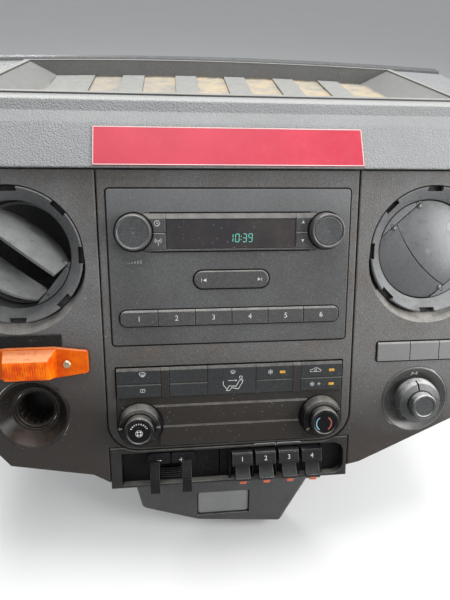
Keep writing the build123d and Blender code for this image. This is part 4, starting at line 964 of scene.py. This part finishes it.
def drive_mark():
    """The drive sign in the bowl: two axles and the shaft between them, seen from above."""
    sign = bmesh.new()
    half, wheel_v = 2.6, 1.5
    for u in (-half, half):
        stroke(sign, [(u, -wheel_v), (u, wheel_v)], 0.5, 0.0)
        for v in (-wheel_v, wheel_v):
            stroke(sign, [(u - 0.9, v), (u + 0.9, v)], 0.8, 0.0)
    stroke(sign, [(-half, 0), (half, 0)], 0.5, 0.0)
    bowl_slope = Matrix.Rotation(atan2(12.5, 24.0), 4, "X")
    plane = FACE @ Matrix.Translation((198.0, -117.6, -2.2)) @ bowl_slope
    piece_from("drive_sign", sign, WHITE_INK, plane)


# Vents, marker lamp, plate and floor duct


def vent_notch_shadows(ring):
    """Painted shadow: dark blocks laid in the eight notches of each vent ring, where the deep
    notches lie in shade.
    """
    values = {"Count": 8, "Radius": 61.6, "First angle": 0.0, "Step": pi / 4, "Length": 4.4,
              "Width": 15.4, "Height": 0.5}
    for side, u in (("left", -VENT_U), ("right", VENT_U)):
        place = FACE @ Matrix.Translation((u, VENT_V, -6.8))
        ring.piece(side + "_vent_notch_shadows", values, NOTCH_SHADOW_BLACK, "vent_plastic", place)


def lens_ribs(row):
    """Fine upright ribs moulded on the lens's front face."""
    values = {"Count": 17, "Pitch": 2.3, "Length": 16.4, "Radius": 0.85}
    lens_slope = Matrix.Rotation(atan2(3.6, 19.4), 4, "X")
    place = FACE @ Matrix.Translation((LAMP_U - 18.4, LAMP_V - 3.0, 18.75)) @ lens_slope
    row.piece("lens_ribs", values, RIB_AMBER, "lens_amber", place, sharp=60.0)


def screw_values(radius, height, recess, facing):
    """Sizes of a screw head in millimetres, and the way it faces on the face plane."""
    return {"Head radius": radius * MM, "Head height": height * MM, "Recess": recess * MM,
            "Facing": FACE.to_3x3() @ (Vector(facing) / MM)}


def lamp_screws(screw):
    points = [FACE @ Vector((LAMP_U + side * 34.3, LAMP_V - 1.5, 4.5)) for side in (-1, 1)]
    values = screw_values(3.9, 2.4, 4.6, (0, 0, 1))
    screw.piece("lamp_screws", values, WARM_ZINC, "lens_amber", start=points)


def plate_border():
    """The pale line that runs round the red plate's edge."""
    low, high = Vector((0, -0.1646, 0.1074)), Vector((0, -0.1320, 0.1372))
    up = (high - low).normalized()
    out = Vector((1, 0, 0)).cross(up)
    plane = Matrix((
        (1, up.x, out.x, 0), (0, up.y, out.y, low.y), (0, up.z, out.z, low.z), (0, 0, 0, 1),
    )) @ Matrix.Scale(MM, 4)
    half_width, half_height, middle = 126.4, 18.45, 20.5
    outline = rounded_box(
        -half_width, half_width, middle - half_height, middle + half_height, 1.0, 3)
    border = bmesh.new()
    stroke(border, outline, 0.9, 1.3, closed=True, lift=0.06)
    piece_from("plate_border", border, PLATE_WHITE, plane)


def duct_cover():
    """The smooth pale cover in the shallow window of the duct's sloping front."""
    cover = bmesh.new()
    tablet(cover, (-30.9, 30.9, -15.9, 15.9), 4.0, -3.9, -2.2, 0.7)
    duct_slope = Matrix.Rotation(atan2(11.0, 73.0), 4, "X")
    plane = FACE @ Matrix.Translation((-3.6, -291.5, -55.5)) @ duct_slope
    piece_from("duct_cover", cover, COVER_GREY, plane)


# Fasteners at the back


def back_fasteners(screw, bolt):
    """Bolts that hold the brackets to the channel, and screws in the radio's case."""
    values = {"Across corners": 11.5 * MM, "Head height": 5.5 * MM, "Flange radius": 8.0 * MM,
              "Flange height": 2.0 * MM}
    for name, lift in (("lower_tab_bolts", -1), ("upper_tab_bolts", 1)):
        points = [ROW @ Vector((side * 150 + across, -27.0, lift * 31.0))
                  for side in (-1, 1) for across in (-16, 16)]
        facing = {"Facing": (0, 0, lift)}
        bolt.piece(name, {**values, **facing}, ZINC, "bracket_steel", start=points)
    for name, v, side in (("case_top_screws", 52.0, 1), ("case_bottom_screws", -48.0, -1)):
        points = [FACE @ Vector((u, v, n)) for u in (-82.0, 82.0) for n in (-36.0, -132.0)]
        values = screw_values(3.4, 2.0, 3.8, (0, side, 0))
        screw.piece(name, values, ZINC, "case_steel", start=points)


# Light, floor and camera

# Name, place and aim in metres, size in metres and power in watts
LIGHTS = (
    ("windscreen_light", (-0.06, 0.10, 1.45), (0, -0.1, 0.05), 1.1, 28.0),
    ("right_light", (0.95, -0.62, 0.36), (0.2, -0.2, 0.0), 0.6, 13.0),
    ("back_light", (-0.75, 1.35, 0.26), (0.0, 0.0, -0.05), 0.6, 18.0),
)
SKY_COLOUR, SKY_STRENGTH = (0.93, 0.96, 1.0, 1.0), 0.46
# Half the floor's width, in metres
FLOOR_REACH = 15
CAMERA_PLACE = (-0.05515, -0.58225, 0.27539)
CAMERA_YAW, CAMERA_PITCH, CAMERA_ROLL = radians(7.53), radians(37.45), radians(-3.24)
SENSOR_WIDTH, FOCAL_LENGTH, NEAREST = 36.0, 28.27, 0.01


def studio():
    world = bpy.data.worlds.new("soft_grey")
    bpy.context.scene.world = world
    world.use_nodes = True
    sky = world.node_tree.nodes["Background"]
    sky.inputs[0].default_value, sky.inputs[1].default_value = SKY_COLOUR, SKY_STRENGTH
    for name, place, aim, size, power in LIGHTS:
        lamp = bpy.data.lights.new(name, "AREA")
        lamp.size, lamp.energy = size, power
        holder = placed(name, lamp)
        holder.location = place
        away = Vector(aim) - Vector(place)
        holder.rotation_euler = away.to_track_quat("-Z", "Y").to_euler()
        holder.visible_camera = False


def floor():
    """A pale plain floor under the lowest point of the section."""
    shape = bmesh.new()
    for x, y in ((-1, -1), (1, -1), (1, 1), (-1, 1)):
        shape.verts.new((x * FLOOR_REACH, y * FLOOR_REACH, cad_box[0].z))
    shape.faces.new(shape.verts)
    mesh = bpy.data.meshes.new("floor")
    shape.to_mesh(mesh)
    shape.free()
    paint = Finish("pale_floor")
    paint.tone = paint.mix(paint.noise(3.0, 3.0), (0.72, 0.72, 0.71), (0.76, 0.76, 0.75))
    mesh.materials.append(paint.close(Roughness=0.8).material)
    plane = placed("floor", mesh)


def camera():
    """The photograph's view: from the driver's side, down on to the face."""
    yaw, pitch, roll = CAMERA_YAW, CAMERA_PITCH, CAMERA_ROLL
    forward = Vector((sin(yaw) * cos(pitch), cos(yaw) * cos(pitch), -sin(pitch)))
    right = Vector((cos(yaw), -sin(yaw), 0))
    down = forward.cross(right)
    right, down = cos(roll) * right + sin(roll) * down, cos(roll) * down - sin(roll) * right
    turn = Matrix((right, -down, -forward)).transposed().to_4x4()
    eye = bpy.data.cameras.new("camera")
    eye.sensor_width, eye.lens, eye.clip_start = SENSOR_WIDTH, FOCAL_LENGTH, NEAREST
    holder = placed("camera", eye)
    holder.matrix_world = Matrix.Translation(CAMERA_PLACE) @ turn
    bpy.context.scene.camera = holder


def main():
    bpy.context.scene.view_settings.view_transform = "Standard"
    dress_cad_nodes()
    ring, row = block_ring_tree(), rib_row_tree()
    screw, bolt = screw_head_tree(), bolt_head_tree()
    radio_shadow_lines()
    clock_window()
    clock_digits()
    radio_marks()
    climate_marks()
    dial_marks(ring)
    switch_marks()
    drive_mark()
    vent_notch_shadows(ring)
    lens_ribs(row)
    lamp_screws(screw)
    plate_border()
    duct_cover()
    back_fasteners(screw, bolt)
    studio()
    floor()
    camera()


main()
